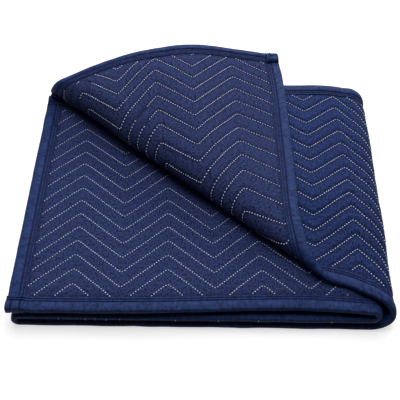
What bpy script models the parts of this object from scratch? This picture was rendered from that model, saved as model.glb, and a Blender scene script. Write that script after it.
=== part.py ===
"""Quilted moving blanket, folded into a flat stack of four layers.

The blanket is one long quilted panel folded back and forth: lower layer on
the surface, a middle layer, an upper layer with its bound end at the left, and
a top layer whose loose corner is rolled back over itself.  Folded tapes bind
every edge.  The panel starts as a flat sheet that is scored along its folds
and quilting lines, is given its thickness, and is then laid into its folds by
functions of the flat coordinates.

Units are metres, +Z up, +X along the width of the stack, +Y towards its back.
The origin is under the middle of the whole piece, on the surface it lies on.
"""

import math

import bmesh
import bpy
import numpy as np
from mathutils import Vector

# ---------------------------------------------------------------- the cloth
STACK_DEPTH = 0.410          # finished width of the panel, front to back
QUILT_HALF = 0.0045          # half the thickness between stitch lines
STITCH_SINK = 0.0018         # how far a stitch line pulls each face down
EDGE_HALF = 0.0020           # half the thickness where the tape grips it
TAPE_WIDTH = 0.0200          # width of the binding on each face
TAPE_HALF = 0.0005           # half the thickness of the tape
TAPE_GAP = 0.0010            # gap between tape and cloth
TAPE_END = TAPE_WIDTH + 2.0 * TAPE_GAP   # an end tape stops this far from the long edges
MARGIN_STEPS = (0.0, TAPE_WIDTH, TAPE_END, 0.0330)   # rows that shape the margin
TAPE_SHOULDER = 0.35         # how far the tape's fold is rounded off
TAPE_LEVELS = (0.0, 0.2, 0.8, 1.0)   # levels of a tape's slab that become its fold
TAPE_LIFT = 10.0             # lifts the outer face of a tape clear of its levels
EDGE_SLACK = 0.0030          # points this near an edge are on it

# ------------------------------------------------------- the stack of layers
LOWER_Z = 0.0045             # mid-height of the layer on the surface
MIDDLE_Z = 0.0205            # mid-height of the second layer
UPPER_Z = 0.0365             # mid-height of the third layer
LAYER_GAP = 0.0015           # gap under the top layer and under the flap
SMALL_FOLD_R = 0.0080        # mid-radius of the two inner folds
LEFT_FOLD_X = 0.0115         # centre of the left fold
INNER_FOLD_X = 0.4815        # centre of the inner right fold
OUTER_FOLD_X = 0.4800        # where the outer right fold leaves the layers
OUTER_FOLD_REACH = 0.0282    # how far the outer fold stands out from there
OUTER_FOLD_RUN = 0.0760      # length of cloth in the outer fold
TOP_Z = UPPER_Z + 2.0 * QUILT_HALF + LAYER_GAP
END_SPREAD = 0.0025          # how far the upper layer's bound end is pressed out
END_RUN = 0.0300             # distance over which that fades

SWELL = 0.0150               # how far the top layer swells up at its back
SWELL_START = -0.010         # distance behind the roll where it starts
SWELL_RISE = 0.130           # distance over which it rises behind the roll
SWELL_FRONT = 0.200          # distance over which it rises from the front
SWELL_DROP = 0.35            # share lost again at the outer fold
SWELL_DROP_X = (0.440, 0.490)

# Front edge of the upper layer: how far it is drawn in, by x.
UPPER_FRONT = (
    # x, y
    (0.000, 0.000),
    (0.180, 0.001),
    (0.300, 0.006),
    (0.390, 0.008),
    (0.480, 0.003),
)

# Front edge of the top layer, spread out flat: drawn back from the corner.
TOP_FRONT = (
    # x, y
    (-0.040, 0.0065),
    (0.060, 0.0138),
    (0.140, 0.0254),
    (0.240, 0.0413),
    (0.320, 0.0541),
    (0.365, 0.0555),
    (0.405, 0.0500),
    (0.445, 0.0400),
    (0.480, 0.0230),
)
LOOSE_FRONT = TOP_FRONT[0][1]    # where that edge meets the free left edge
TOP_BACK = 0.413             # back edge of the top layer
TOP_LEFT = (
    # y, x of the free left edge, spread out flat
    (0.005, -0.0160),
    (0.020, -0.0185),
    (0.090, -0.0245),
    (0.180, -0.0215),
    (0.280, -0.0160),
    (0.350, -0.0095),
    (0.385, -0.0030),
    (0.413, 0.0020),
)

# ------------------------------------------------------------- rolled corner
ROLL_BACK = (0.0081, 0.3813)     # fold line of the rolled corner, back left
ROLL_FRONT = (0.3977, 0.0593)    # and front right
ROLL_RADIUS = (
    # share of the fold line, mid-radius of the roll
    (0.00, 0.0160),
    (0.12, 0.0235),
    (0.35, 0.0240),
    (0.60, 0.0200),
    (0.80, 0.0145),
    (1.00, 0.0105),
)
ROLL_BULGE = (
    # share of the fold line, how far the roll is pushed forward
    (0.00, -0.0070),
    (0.12, -0.0005),
    (0.28, 0.0045),
    (0.50, 0.0045),
    (0.80, 0.0010),
    (1.00, 0.0000),
)
FLAP_EDGE_X = 0.388          # the flap lies down along this line
FLAP_ARCH = 0.190            # and arches up over this distance from it
FLAP_SETTLE = 0.090          # distance over which the roll itself settles
ROLL_COVER = 0.012           # the roll hides the upper layer behind this
FLAP_COVER = 0.020           # the flap hides the top layer beyond this
ROLL_SPREAD = 1.5            # half width of the scored roll, in half turns
ROLL_SCORES = 10             # strips across the scored roll
SETTLE_PARTS = (2.3, 3.3, 4.5)   # score lines beyond the roll, in half turns
ARCH_SCORES = 9              # score lines across the flap's arch
ARCH_SPACING = 0.040         # distance between them

# Columns of the flat sheet
UPPER_COLUMNS = 4
SMALL_FOLD_COLUMNS = 8
OUTER_FOLD_COLUMNS = 10
TOP_COLUMNS = 10

# ------------------------------------------------------------------ quilting
# Each field is a chevron lattice: an apex, the half period, the slope of its
# rows, the lean of its columns, the row spacing and the height of a zigzag.
QUILT_FIELDS = {
    # name: apex x, apex y, half period, row slope, column lean, spacing, rise
    "upper": (0.0840, 0.0877, 0.0635, 0.0098, -0.0403, 0.0245, 0.0530),
    "top": (0.4640, 0.3888, 0.0515, 0.0000, -0.0210, 0.0247, 0.0364),
    "flap": (0.1795, 0.4175, 0.0592, 0.2800, -0.0500, 0.0268, 0.0538),
}
PILLOW = (
    # share of a row from its stitch line, how much of the sink is left
    (0.00, 1.00),
    (0.25, 0.10),
    (0.75, 0.10),
    (1.00, 1.00),
)
COLUMN_ROWS = 10             # rows between the two points that set a column line
SNAP = 0.0005                # cuts closer than this to a point run through it
SLOPE_STEP = 0.001           # half the step over which an edge's slope is taken
NORMAL_STEP = 0.0002         # half the step over which the cloth's normal is taken

COLOURS = {
    "quilt": (0.031, 0.043, 0.125),
    "tape": (0.033, 0.052, 0.165),
}
CLOTH_ROUGHNESS = 0.9
TAPE_ROUGHNESS = 0.75

# ------------------------------------------------- lengths along the panel
UPPER_END = INNER_FOLD_X
SMALL_FOLD_RUN = math.pi * SMALL_FOLD_R
MIDDLE_START = UPPER_END + SMALL_FOLD_RUN
MIDDLE_END = MIDDLE_START + INNER_FOLD_X - LEFT_FOLD_X
LOWER_START = MIDDLE_END + SMALL_FOLD_RUN
LOWER_END = LOWER_START + OUTER_FOLD_X - LEFT_FOLD_X
TOP_START = LOWER_END + OUTER_FOLD_RUN


def ease(t):
    """Smooth step from 0 to 1."""
    t = np.clip(t, 0.0, 1.0)
    return t * t * (3.0 - 2.0 * t)


def through(table, x):
    """Smooth curve through a table of (x, y): cubic pieces, shared slopes."""
    knots = np.array(table)
    kx = knots[:, 0]
    ky = knots[:, 1]
    slopes = np.gradient(ky, kx)
    x = np.clip(x, kx[0], kx[-1])
    i = np.clip(np.searchsorted(kx, x) - 1, 0, len(kx) - 2)
    span = kx[i + 1] - kx[i]
    t = (x - kx[i]) / span
    rise = ky[i + 1] - ky[i]
    bend_in = slopes[i] * span - rise
    bend_out = rise - slopes[i + 1] * span
    return ky[i] + t * rise + t * (1.0 - t) * (bend_in * (1.0 - t) + bend_out * t)


# ---------------------------------------------------------------- the folds
def roll_frame():
    """Origin, length, direction and outward normal of the roll's fold line."""
    start = np.array(ROLL_BACK)
    run = np.array(ROLL_FRONT) - start
    length = np.linalg.norm(run)
    along = run / length
    outward = np.array((along[1], -along[0]))
    return start, length, along, outward


def roll_place(x, y):
    """Share along the fold line, and distance in front of it."""
    start, length, along, outward = roll_frame()
    share = ((x - start[0]) * along[0] + (y - start[1]) * along[1]) / length
    ahead = (x - start[0]) * outward[0] + (y - start[1]) * outward[1]
    return share, ahead


def top_height(x, y):
    """Mid-height of the top layer where it lies: level, with a soft swell."""
    _, ahead = roll_place(x, y)
    behind = ease((-ahead - SWELL_START) / SWELL_RISE)
    depth = ease(y / SWELL_FRONT)
    drop_from, drop_to = SWELL_DROP_X
    side = 1.0 - SWELL_DROP * ease((x - drop_from) / (drop_to - drop_from))
    return TOP_Z + SWELL * behind * depth * side


def turn_back(x, y):
    """Lay a point of the spread-out top layer; the front corner rolls over.

    Behind the roll a point stays.  On the roll it goes round a half turn.
    Past it, the point is mirrored in the fold line and lies above the layer,
    arched up at the left and settled along the flap's right edge.
    """
    share, ahead = roll_place(x, y)
    outward = roll_frame()[3]
    radius = through(ROLL_RADIUS, share)
    reach = 0.5 * math.pi * radius
    turn = np.clip((ahead + reach) / radius, 0.0, math.pi)
    on_roll = -reach + (radius + through(ROLL_BULGE, share)) * np.sin(turn)
    placed = np.where(ahead < -reach, ahead, np.where(ahead < reach, on_roll, -ahead))
    px = x + outward[0] * (placed - ahead)
    py = y + outward[1] * (placed - ahead)
    settled = 2.0 * QUILT_HALF + LAYER_GAP
    arch = ease((FLAP_EDGE_X - px) / FLAP_ARCH)
    near_roll = 1.0 - ease((ahead - reach) / FLAP_SETTLE)
    raised = 1.0 - (1.0 - arch) * (1.0 - near_roll)
    flap = settled + (2.0 * radius - settled) * raised
    lift = np.where(ahead < reach, radius * (1.0 - np.cos(turn)), flap)
    pz = top_height(px, np.minimum(py, TOP_BACK)) + lift
    return px, py, pz


def mid_surface(u, y):
    """Middle of the cloth for flat coordinates along and across the panel."""
    turn_in = (u - UPPER_END) / SMALL_FOLD_R
    turn_left = (u - MIDDLE_END) / SMALL_FOLD_R
    turn_out = math.pi * (u - LOWER_END) / OUTER_FOLD_RUN
    mid_in = 0.5 * (UPPER_Z + MIDDLE_Z)
    mid_left = 0.5 * (MIDDLE_Z + LOWER_Z)
    outer_top = top_height(np.full_like(u, OUTER_FOLD_X), y)
    outer_mid = 0.5 * (outer_top + LOWER_Z)
    outer_rise = 0.5 * (outer_top - LOWER_Z)
    tx, ty, tz = turn_back(OUTER_FOLD_X - (u - TOP_START), y)
    pieces = (
        # where the piece ends, x, y, z
        (UPPER_END, u - END_SPREAD * (1.0 - ease(u / END_RUN)), y, np.full_like(u, UPPER_Z)),
        (MIDDLE_START, INNER_FOLD_X + SMALL_FOLD_R * np.sin(turn_in), y,
         mid_in + SMALL_FOLD_R * np.cos(turn_in)),
        (MIDDLE_END, INNER_FOLD_X - (u - MIDDLE_START), y, np.full_like(u, MIDDLE_Z)),
        (LOWER_START, LEFT_FOLD_X - SMALL_FOLD_R * np.sin(turn_left), y,
         mid_left + SMALL_FOLD_R * np.cos(turn_left)),
        (LOWER_END, LEFT_FOLD_X + (u - LOWER_START), y, np.full_like(u, LOWER_Z)),
        (TOP_START, OUTER_FOLD_X + OUTER_FOLD_REACH * np.sin(turn_out), y,
         outer_mid - outer_rise * np.cos(turn_out)),
        (math.inf, tx, ty, tz),
    )
    ends = [u < piece[0] for piece in pieces]
    return np.stack([np.select(ends, [piece[axis] for piece in pieces]) for axis in (1, 2, 3)], -1)


def lay(u, y, rise):
    """Lay flat points into the folds, each `rise` above the cloth's middle."""
    along = mid_surface(u + NORMAL_STEP, y) - mid_surface(u - NORMAL_STEP, y)
    across = mid_surface(u, y + NORMAL_STEP) - mid_surface(u, y - NORMAL_STEP)
    normal = np.cross(along, across)
    normal /= np.linalg.norm(normal, axis=-1, keepdims=True)
    return mid_surface(u, y) + normal * rise[..., None]


# ----------------------------------------------------------- the flat outline
def front_edge(u):
    """Front edge of the spread-out panel by its length coordinate."""
    upper = through(UPPER_FRONT, u) * ease((MIDDLE_START - u) / SMALL_FOLD_RUN)
    outer = through(TOP_FRONT, np.array(OUTER_FOLD_X))
    in_fold = outer * np.clip((u - LOWER_END) / OUTER_FOLD_RUN, 0.0, 1.0) ** 2
    top = through(TOP_FRONT, OUTER_FOLD_X - (u - TOP_START))
    return np.where(u < LOWER_END, upper, np.where(u < TOP_START, in_fold, top))


def back_edge(u):
    """Back edge of the spread-out panel by its length coordinate."""
    slip = ease((u - LOWER_END) / OUTER_FOLD_RUN)
    return STACK_DEPTH + (TOP_BACK - STACK_DEPTH) * slip


def end_edge(y):
    """Length coordinate of the top layer's free left edge."""
    return TOP_START + OUTER_FOLD_X - through(TOP_LEFT, y)


def edge_stretch(edge, at):
    """Length of an edge curve for each metre along its axis."""
    slope = (edge(at + SLOPE_STEP) - edge(at - SLOPE_STEP)) / (2.0 * SLOPE_STEP)
    return np.sqrt(1.0 + slope * slope)


# ------------------------------------------------------------------ quilting
class Chevrons:
    """A chevron lattice in flat coordinates, `flip` turning u into x."""

    def __init__(self, name, to_plan):
        apex_x, apex_y, self.half_period, slope, lean, self.spacing, self.rise = QUILT_FIELDS[name]
        self.apex = np.array((apex_x, apex_y))
        self.across = np.array((self.half_period, slope * self.half_period))
        self.down = np.array((lean * self.spacing, self.spacing))
        self.to_plan = to_plan

    def lattice(self, u, y):
        """Column and row of a flat point, counted from the apex."""
        px, py = self.to_plan(u, y)
        dx = px - self.apex[0]
        dy = py - self.apex[1]
        area = self.across[0] * self.down[1] - self.across[1] * self.down[0]
        column = (dx * self.down[1] - dy * self.down[0]) / area
        row = (dy * self.across[0] - dx * self.across[1]) / area
        return column, row

    def phase(self, u, y):
        """Whole on a stitch line, and half way between two of them."""
        column, row = self.lattice(u, y)
        zigzag = np.abs(np.mod(column, 2.0) - 1.0)
        return row + (self.rise / self.spacing) * (1.0 - zigzag)

    def sink(self, u, y):
        """Share of the full sink at a flat point."""
        shares = np.array(PILLOW)
        return np.interp(np.mod(self.phase(u, y), 1.0), shares[:, 0], shares[:, 1])


def plan_upper(u, y):
    """The upper layer's flat coordinates are its place."""
    return u, y


def plan_top(u, y):
    """Place of the spread-out top layer."""
    return OUTER_FOLD_X - (u - TOP_START), y


def plan_flap(u, y):
    """Place of the spread-out top layer, mirrored in the fold line."""
    x, y = plan_top(u, y)
    outward = roll_frame()[3]
    _, ahead = roll_place(x, y)
    return x - 2.0 * ahead * outward[0], y - 2.0 * ahead * outward[1]


def roll_line(part):
    """Two flat points of a line across the roll, `part` from -1 to 1."""
    start, length, along, outward = roll_frame()
    ends = []
    for share, point in ((0.0, start), (1.0, np.array(ROLL_FRONT))):
        reach = 0.5 * math.pi * float(through(ROLL_RADIUS, np.array(share)))
        place = point + outward * part * reach
        ends.append(Vector((TOP_START + OUTER_FOLD_X - place[0], place[1], 0.0)))
    return ends


def past_line(ends, u, y):
    """Positive where a flat point is on the loose side of a roll line."""
    first, last = ends
    return (first.y - last.y) * (u - first.x) - (first.x - last.x) * (y - first.y)


# -------------------------------------------------------- cutting the flat sheet
def spaced(start, end, count):
    """Even stations from start towards end, the last left out."""
    return [start + (end - start) * i / count for i in range(count)]


def fold_columns():
    """Stations of the upper layer and the three folds, shared by every edge."""
    stations = spaced(UPPER_FRONT[1][0], UPPER_END, UPPER_COLUMNS)
    stations += spaced(UPPER_END, MIDDLE_START, SMALL_FOLD_COLUMNS)
    stations += [MIDDLE_START]
    stations += spaced(MIDDLE_END, LOWER_START, SMALL_FOLD_COLUMNS)
    stations += [LOWER_START]
    return stations + spaced(LOWER_END, TOP_START, OUTER_FOLD_COLUMNS)


def flat_sheet(points):
    """A flat grid sheet with its points moved to an array of rows of (u, y)."""
    rows, columns = points.shape[:2]
    sheet = bmesh.new()
    made = bmesh.ops.create_grid(sheet, x_segments=columns - 1, y_segments=rows - 1, size=1.0)
    order = sorted(made["verts"], key=lambda vert: (round(vert.co.y, 5), round(vert.co.x, 5)))
    for vert, (u, y) in zip(order, points.reshape(-1, 2)):
        vert.co = (u, y, 0.0)
    return sheet


def cut(sheet, faces, point, direction):
    """Cut faces of the flat sheet along a line; returns the cut faces."""
    edges = {edge for face in faces for edge in face.edges}
    verts = {vert for face in faces for vert in face.verts}
    normal = Vector((-direction.y, direction.x, 0.0)).normalized()
    result = bmesh.ops.bisect_plane(
        sheet, geom=list(verts) + list(edges) + list(faces),
        dist=SNAP, plane_co=point, plane_no=normal)
    return [item for item in result["geom"] if isinstance(item, bmesh.types.BMFace)]


def cut_between(sheet, first, last, keep):
    """Cut the faces whose middle passes `keep` along the line first to last."""
    faces = [face for face in sheet.faces if keep(face.calc_center_median())]
    cut(sheet, faces, first, last - first)


def cut_field(sheet, field, keep, to_flat):
    """Score a quilting field: its columns first, then each band's stitch lines."""
    faces = [face for face in sheet.faces if keep(face.calc_center_median())]
    corners = np.array([vert.co[:2] for face in faces for vert in face.verts])
    column, row = field.lattice(corners[:, 0], corners[:, 1])
    first_column = math.floor(column.min())
    last_column = math.ceil(column.max())
    for k in range(first_column + 1, last_column):
        ends = [to_flat(field.apex + k * field.across + j * field.down) for j in (0, COLUMN_ROWS)]
        faces = cut(sheet, faces, ends[0], ends[1] - ends[0])
    bands = {}
    for face in faces:
        middle = face.calc_center_median()
        at, _ = field.lattice(np.array(middle.x), np.array(middle.y))
        bands.setdefault(math.floor(at), []).append(face)
    drop = field.rise / field.spacing
    for k, band in sorted(bands.items()):
        starts_high = k % 2 == 0
        low, high = ((drop, 0.0) if starts_high else (0.0, drop))
        corners = np.array([vert.co[:2] for face in band for vert in face.verts])
        phases = field.phase(corners[:, 0], corners[:, 1])
        for line in range(math.floor(phases.min()), math.ceil(phases.max()) + 1):
            for share, _ in PILLOW[:-1]:
                near = field.apex + k * field.across + (line + share - drop + high) * field.down
                far = field.apex + (k + 1) * field.across + (line + share - drop + low) * field.down
                near = to_flat(near)
                band = cut(sheet, band, near, to_flat(far) - near)


def thicken(sheet, height):
    """Close an open sheet into a slab: its copy `height` up is the other face."""
    bmesh.ops.triangulate(sheet, faces=sheet.faces[:])
    lifted = bmesh.ops.extrude_face_region(sheet, geom=sheet.faces[:], use_keep_orig=True)
    for item in lifted["geom"]:
        if isinstance(item, bmesh.types.BMVert):
            item.co.z += height
    bmesh.ops.triangulate(sheet, faces=sheet.faces[:])
    bmesh.ops.recalc_face_normals(sheet, faces=sheet.faces[:])


def finish(sheet, name, places, colour, roughness):
    """Put a sheet's points in place and make it an object of the blanket."""
    for vert, place in zip(sheet.verts, places):
        vert.co = place
    if sheet.calc_volume(signed=True) < 0.0:
        bmesh.ops.reverse_faces(sheet, faces=sheet.faces[:])
    mesh = bpy.data.meshes.new(name)
    sheet.to_mesh(mesh)
    sheet.free()
    mesh.shade_smooth()
    thing = bpy.data.objects.new(name, mesh)
    material = bpy.data.materials.new(name + "_cloth")
    material.use_nodes = True
    shader = material.node_tree.nodes["Principled BSDF"]
    shader.inputs["Base Color"].default_value = (*colour, 1.0)
    shader.inputs["Roughness"].default_value = roughness
    mesh.materials.append(material)
    return thing


def flat_arrays(sheet):
    """Flat coordinates and level of every point of a slab."""
    points = np.array([vert.co[:] for vert in sheet.verts])
    return points[:, 0], points[:, 1], points[:, 2]


# -------------------------------------------------------------------- the panel
def top_flat(place):
    """Flat point of a place on the spread-out top layer."""
    return Vector((TOP_START + OUTER_FOLD_X - place[0], place[1], 0.0))


def flap_flat(place):
    """Flat point of a place on the turned-back flap."""
    outward = roll_frame()[3]
    _, ahead = roll_place(place[0], place[1])
    return top_flat(np.array(place) - 2.0 * ahead * outward)


def panel_points():
    """Grid of flat points for the panel, with the margins that its tapes grip."""
    loose_end = TOP_START + OUTER_FOLD_X - 2.0 * MARGIN_STEPS[-1]
    inner = np.array((*MARGIN_STEPS, *fold_columns(), *spaced(TOP_START, loose_end, TOP_COLUMNS)))
    end_rows = np.array(MARGIN_STEPS[::-1])
    level = [LOOSE_FRONT + step for step in MARGIN_STEPS]
    level += [TOP_BACK - step for step in MARGIN_STEPS[::-1]]
    points = np.zeros((len(level), len(inner) + len(end_rows), 2))
    for j, along in enumerate(level):
        u = np.concatenate((inner, end_edge(np.full(len(end_rows), along)) - end_rows))
        if j < len(MARGIN_STEPS):
            y = front_edge(u) + MARGIN_STEPS[j] * edge_stretch(front_edge, u)
        else:
            y = back_edge(u) - MARGIN_STEPS[len(level) - 1 - j]
        points[j, :, 0] = u
        points[j, :, 1] = y
    return points


def from_front(u, y):
    """Distance of a flat point from the panel's front edge."""
    return (y - front_edge(u)) / edge_stretch(front_edge, u)


def from_back(u, y):
    """Distance of a flat point from the panel's back edge."""
    return back_edge(u) - y


def from_inner_end(u, y):
    """Distance of a flat point from the upper layer's free left edge."""
    return u + 0.0 * y


def from_top_end(u, y):
    """Distance of a flat point from the top layer's free left edge."""
    return end_edge(y) - u


def margin(u, y):
    """Distance of a flat point from the nearest edge of the panel."""
    sides = np.minimum(from_front(u, y), from_back(u, y))
    return np.minimum(sides, np.minimum(from_inner_end(u, y), from_top_end(u, y)))


def bow_end(sheet):
    """Draw the scored loose end out from its chord to its own curve."""
    inset = MARGIN_STEPS[-1]
    rows = np.array((LOOSE_FRONT + inset, TOP_BACK - inset))
    ends = end_edge(rows)
    for vert in sheet.verts:
        u, y = vert.co.x, vert.co.y
        chord = np.interp(y, rows, ends)
        if u > chord - inset - SNAP and rows[0] < y < rows[1]:
            vert.co.x += float(end_edge(np.array(y)) - chord)


def scored_sheet():
    """The flat panel, scored for its folds and its rolled corner.

    The gripped margins are cut into triangles here, so that the panel and the
    tapes made on them share every fold line.
    """
    sheet = flat_sheet(panel_points())
    for part in (*np.linspace(-ROLL_SPREAD, ROLL_SPREAD, ROLL_SCORES + 1), *SETTLE_PARTS):
        first, last = roll_line(part)
        cut_between(sheet, first, last, lambda middle: middle.x > TOP_START)
    rolled = roll_line(ROLL_SPREAD)
    for i in range(ARCH_SCORES):
        x = FLAP_EDGE_X - i * ARCH_SPACING
        cut_between(sheet, flap_flat((x, 0.0)), flap_flat((x, STACK_DEPTH)),
                    lambda middle: (middle.x > TOP_START
                                    and past_line(rolled, middle.x, middle.y) > 0.0))
    bow_end(sheet)
    gripped = [face for face in sheet.faces
               if margin(*face.calc_center_median()[:2]) < TAPE_WIDTH]
    bmesh.ops.triangulate(sheet, faces=gripped)
    return sheet


def build_panel(sheet):
    """The quilted panel: its quilting scored, closed into a slab and laid."""
    loose = roll_line(-ROLL_SPREAD)
    upper = Chevrons("upper", plan_upper)
    top = Chevrons("top", plan_top)
    flap = Chevrons("flap", plan_flap)

    def quilted(middle):
        return margin(middle.x, middle.y) > MARGIN_STEPS[2]

    def upper_shows(middle):
        _, ahead = roll_place(middle.x, middle.y)
        return middle.x < UPPER_END and ahead > -ROLL_COVER and quilted(middle)

    def top_shows(middle):
        behind = past_line(loose, middle.x, middle.y) < 0.0
        x, _ = plan_top(middle.x, middle.y)
        return middle.x > LOWER_END and behind and x > FLAP_EDGE_X - FLAP_COVER and quilted(middle)

    def flap_shows(middle):
        loose_side = past_line(loose, middle.x, middle.y) > 0.0
        return middle.x > TOP_START and loose_side and quilted(middle)

    cut_field(sheet, upper, upper_shows, lambda place: Vector((place[0], place[1], 0.0)))
    cut_field(sheet, top, top_shows, top_flat)
    cut_field(sheet, flap, flap_shows, flap_flat)
    thicken(sheet, 1.0)
    u, y, level = flat_arrays(sheet)
    face = 2.0 * level - 1.0
    past = past_line(loose, u, y) > 0.0
    on_top = (u > LOWER_END) & ~past
    on_flap = (u > TOP_START) & past
    sink = np.where((u < UPPER_END) & (face > 0.0), upper.sink(u, y), 0.0)
    sink = np.where(on_top & (face < 0.0), top.sink(u, y), sink)
    sink = np.where(on_flap, flap.sink(u, y), sink)
    full = QUILT_HALF - STITCH_SINK * sink
    grip = ease((margin(u, y) - TAPE_WIDTH) / (MARGIN_STEPS[-1] - TAPE_WIDTH))
    half = EDGE_HALF + (full - EDGE_HALF) * grip
    return finish(sheet, "quilt_panel", lay(u, y, face * half), COLOURS["quilt"], CLOTH_ROUGHNESS)


# -------------------------------------------------------------------- the tapes
def tape_section():
    """Rows of the folded tape's middle line.

    Each row is its level in the slab it is made from, its distance in from the
    cloth's edge, its rise above the cloth's middle, and the direction its own
    thickness takes at that row.
    """
    lap = EDGE_HALF + TAPE_GAP + TAPE_HALF
    out = TAPE_GAP + TAPE_HALF
    shoulder = lap - TAPE_SHOULDER * out
    rows = np.array((
        # level, inward, rise
        (TAPE_LEVELS[0], TAPE_WIDTH, -lap),
        (TAPE_LEVELS[0], 0.0, -lap),
        (TAPE_LEVELS[1], -out, -shoulder),
        (TAPE_LEVELS[2], -out, shoulder),
        (TAPE_LEVELS[3], 0.0, lap),
        (TAPE_LEVELS[3], TAPE_WIDTH, lap),
    ))
    steps = np.diff(rows[:, 1:], axis=0)
    steps /= np.linalg.norm(steps, axis=-1, keepdims=True)
    runs = steps[:-1] + steps[1:]
    runs *= 2.0 / np.sum(runs * runs, axis=-1, keepdims=True)
    square = np.stack((-runs[:, 1], runs[:, 0]), -1)
    return np.column_stack((rows[1:-1], square))


def build_tape(scored, name, inward, outward):
    """A folded tape, made on the margin of the scored sheet that it grips.

    A copy of the margin is closed into a slab and keeps only the wall on the
    panel's edge.  The slab's levels are then spread into the section of the
    fold, and the C gets the tape's own thickness.
    """
    along_end = outward[0] != 0.0
    tape = scored.copy()

    def gripped(middle):
        sides = min(from_front(middle.x, middle.y), from_back(middle.x, middle.y))
        return inward(middle.x, middle.y) < TAPE_WIDTH and not (along_end and sides < TAPE_END)

    spare = [face for face in tape.faces if not gripped(face.calc_center_median())]
    bmesh.ops.delete(tape, geom=spare, context="FACES")
    thicken(tape, 1.0)
    walls = [face for face in tape.faces if 0.0 < face.calc_center_median().z < 1.0]
    open_walls = [face for face in walls
                  if max(inward(vert.co.x, vert.co.y) for vert in face.verts) > EDGE_SLACK]
    bmesh.ops.delete(tape, geom=open_walls, context="FACES")
    for level in TAPE_LEVELS[1:-1]:
        bmesh.ops.bisect_plane(tape, geom=tape.verts[:] + tape.edges[:] + tape.faces[:],
                               dist=0.0, plane_co=(0.0, 0.0, level), plane_no=(0.0, 0.0, 1.0))
    thicken(tape, TAPE_LIFT)
    u, y, level = flat_arrays(tape)
    outer = level > 0.5 * TAPE_LIFT
    level = np.where(outer, level - TAPE_LIFT, level)
    section = tape_section()
    on_edge = inward(u, y) < EDGE_SLACK
    past = -np.interp(level, section[:, 0], section[:, 1])
    rise = np.interp(level, section[:, 0], section[:, 2])
    aside = np.interp(level, section[:, 0], section[:, 3])
    upward = np.interp(level, section[:, 0], section[:, 4])
    side = np.where(outer, TAPE_HALF, -TAPE_HALF)
    past = np.where(on_edge, past - side * aside, 0.0)
    rise = rise + side * np.where(on_edge, upward, np.sign(level - 0.5))
    u = u + outward[0] * past
    y = y + outward[1] * past
    return finish(tape, name, lay(u, y, rise), COLOURS["tape"], TAPE_ROUGHNESS)


TAPES = (
    # name, distance from the edge it is sewn on, outward direction
    ("binding_front", from_front, (0.0, -1.0)),
    ("binding_back", from_back, (0.0, 1.0)),
    ("binding_end_inner", from_inner_end, (-1.0, 0.0)),
    ("binding_end_top", from_top_end, (1.0, 0.0)),
)


def centre_on_floor(things):
    """Move every mesh so that the whole stands on the origin's plane."""
    points = np.array([vert.co[:] for thing in things for vert in thing.data.vertices])
    low = points.min(axis=0)
    high = points.max(axis=0)
    shift = Vector((-(low[0] + high[0]) / 2.0, -(low[1] + high[1]) / 2.0, -low[2]))
    for thing in things:
        for vert in thing.data.vertices:
            vert.co += shift


def main():
    """Clear the scene and build the blanket."""
    for thing in list(bpy.data.objects):
        bpy.data.objects.remove(thing, do_unlink=True)
    blanket = bpy.data.collections.new("moving_blanket")
    bpy.context.scene.collection.children.link(blanket)
    sheet = scored_sheet()
    things = [build_tape(sheet, *tape) for tape in TAPES]
    things.append(build_panel(sheet))
    for thing in things:
        blanket.objects.link(thing)
    centre_on_floor(things)


main()
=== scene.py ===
"""Dressed model of a quilted moving blanket.

The blanket is folded into a flat stack of four layers, and the loose corner of
its top layer is rolled back over itself.  The solids carry the mass and the
collision; the pieces here stand for them with finer cloth: pillowed quilting,
rounded binding tape, sewn thread, soft creases and woven finishes.

Flat coordinates run along the unrolled panel (u) and across it (y), in metres.
Everything is laid into the folds by functions of those two coordinates.
"""

import logging
import math
from dataclasses import dataclass, field
from enum import Enum
from typing import Any, Callable

import bpy
import numpy as np
from mathutils import Matrix, Vector

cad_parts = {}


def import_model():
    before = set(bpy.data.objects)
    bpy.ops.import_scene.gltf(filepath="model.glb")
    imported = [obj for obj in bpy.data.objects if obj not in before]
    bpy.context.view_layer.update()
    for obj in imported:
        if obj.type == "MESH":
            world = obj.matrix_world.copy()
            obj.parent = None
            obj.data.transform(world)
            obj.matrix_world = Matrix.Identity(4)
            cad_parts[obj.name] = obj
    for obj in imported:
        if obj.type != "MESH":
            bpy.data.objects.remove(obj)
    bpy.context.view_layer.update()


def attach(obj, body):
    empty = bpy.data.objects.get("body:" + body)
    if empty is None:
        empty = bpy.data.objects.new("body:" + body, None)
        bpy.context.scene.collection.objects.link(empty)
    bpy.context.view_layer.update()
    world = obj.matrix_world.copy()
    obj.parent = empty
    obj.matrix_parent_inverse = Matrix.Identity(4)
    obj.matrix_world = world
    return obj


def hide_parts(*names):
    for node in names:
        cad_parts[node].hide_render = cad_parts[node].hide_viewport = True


LOG = logging.getLogger("moving_blanket")
Array = np.ndarray
Spots = tuple[tuple[float, float, float], ...]
BODY = "root"
NOISE_NET = 64        # random heights to each side of a noise net, before it repeats
WAVE_BAND = 0.314     # width of one band of a wave texture at scale 1


class Finish(Enum):
    """Names of material slots in the record; sew takes one but does not use it."""

    CLOTH = "quilted_cloth"
    TAPE = "binding_tape"


# ------------------------------------------------------------------ numbers
def ease(t: Array) -> Array:
    """Smooth step: 3t^2 - 2t^3 between 0 and 1, level outside.

    Args:
        t: Positions, where 0 starts the step and 1 ends it.

    Returns:
        The step's height at each position.
    """
    t = np.clip(t, 0.0, 1.0)
    return t * t * (3.0 - 2.0 * t)


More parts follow.
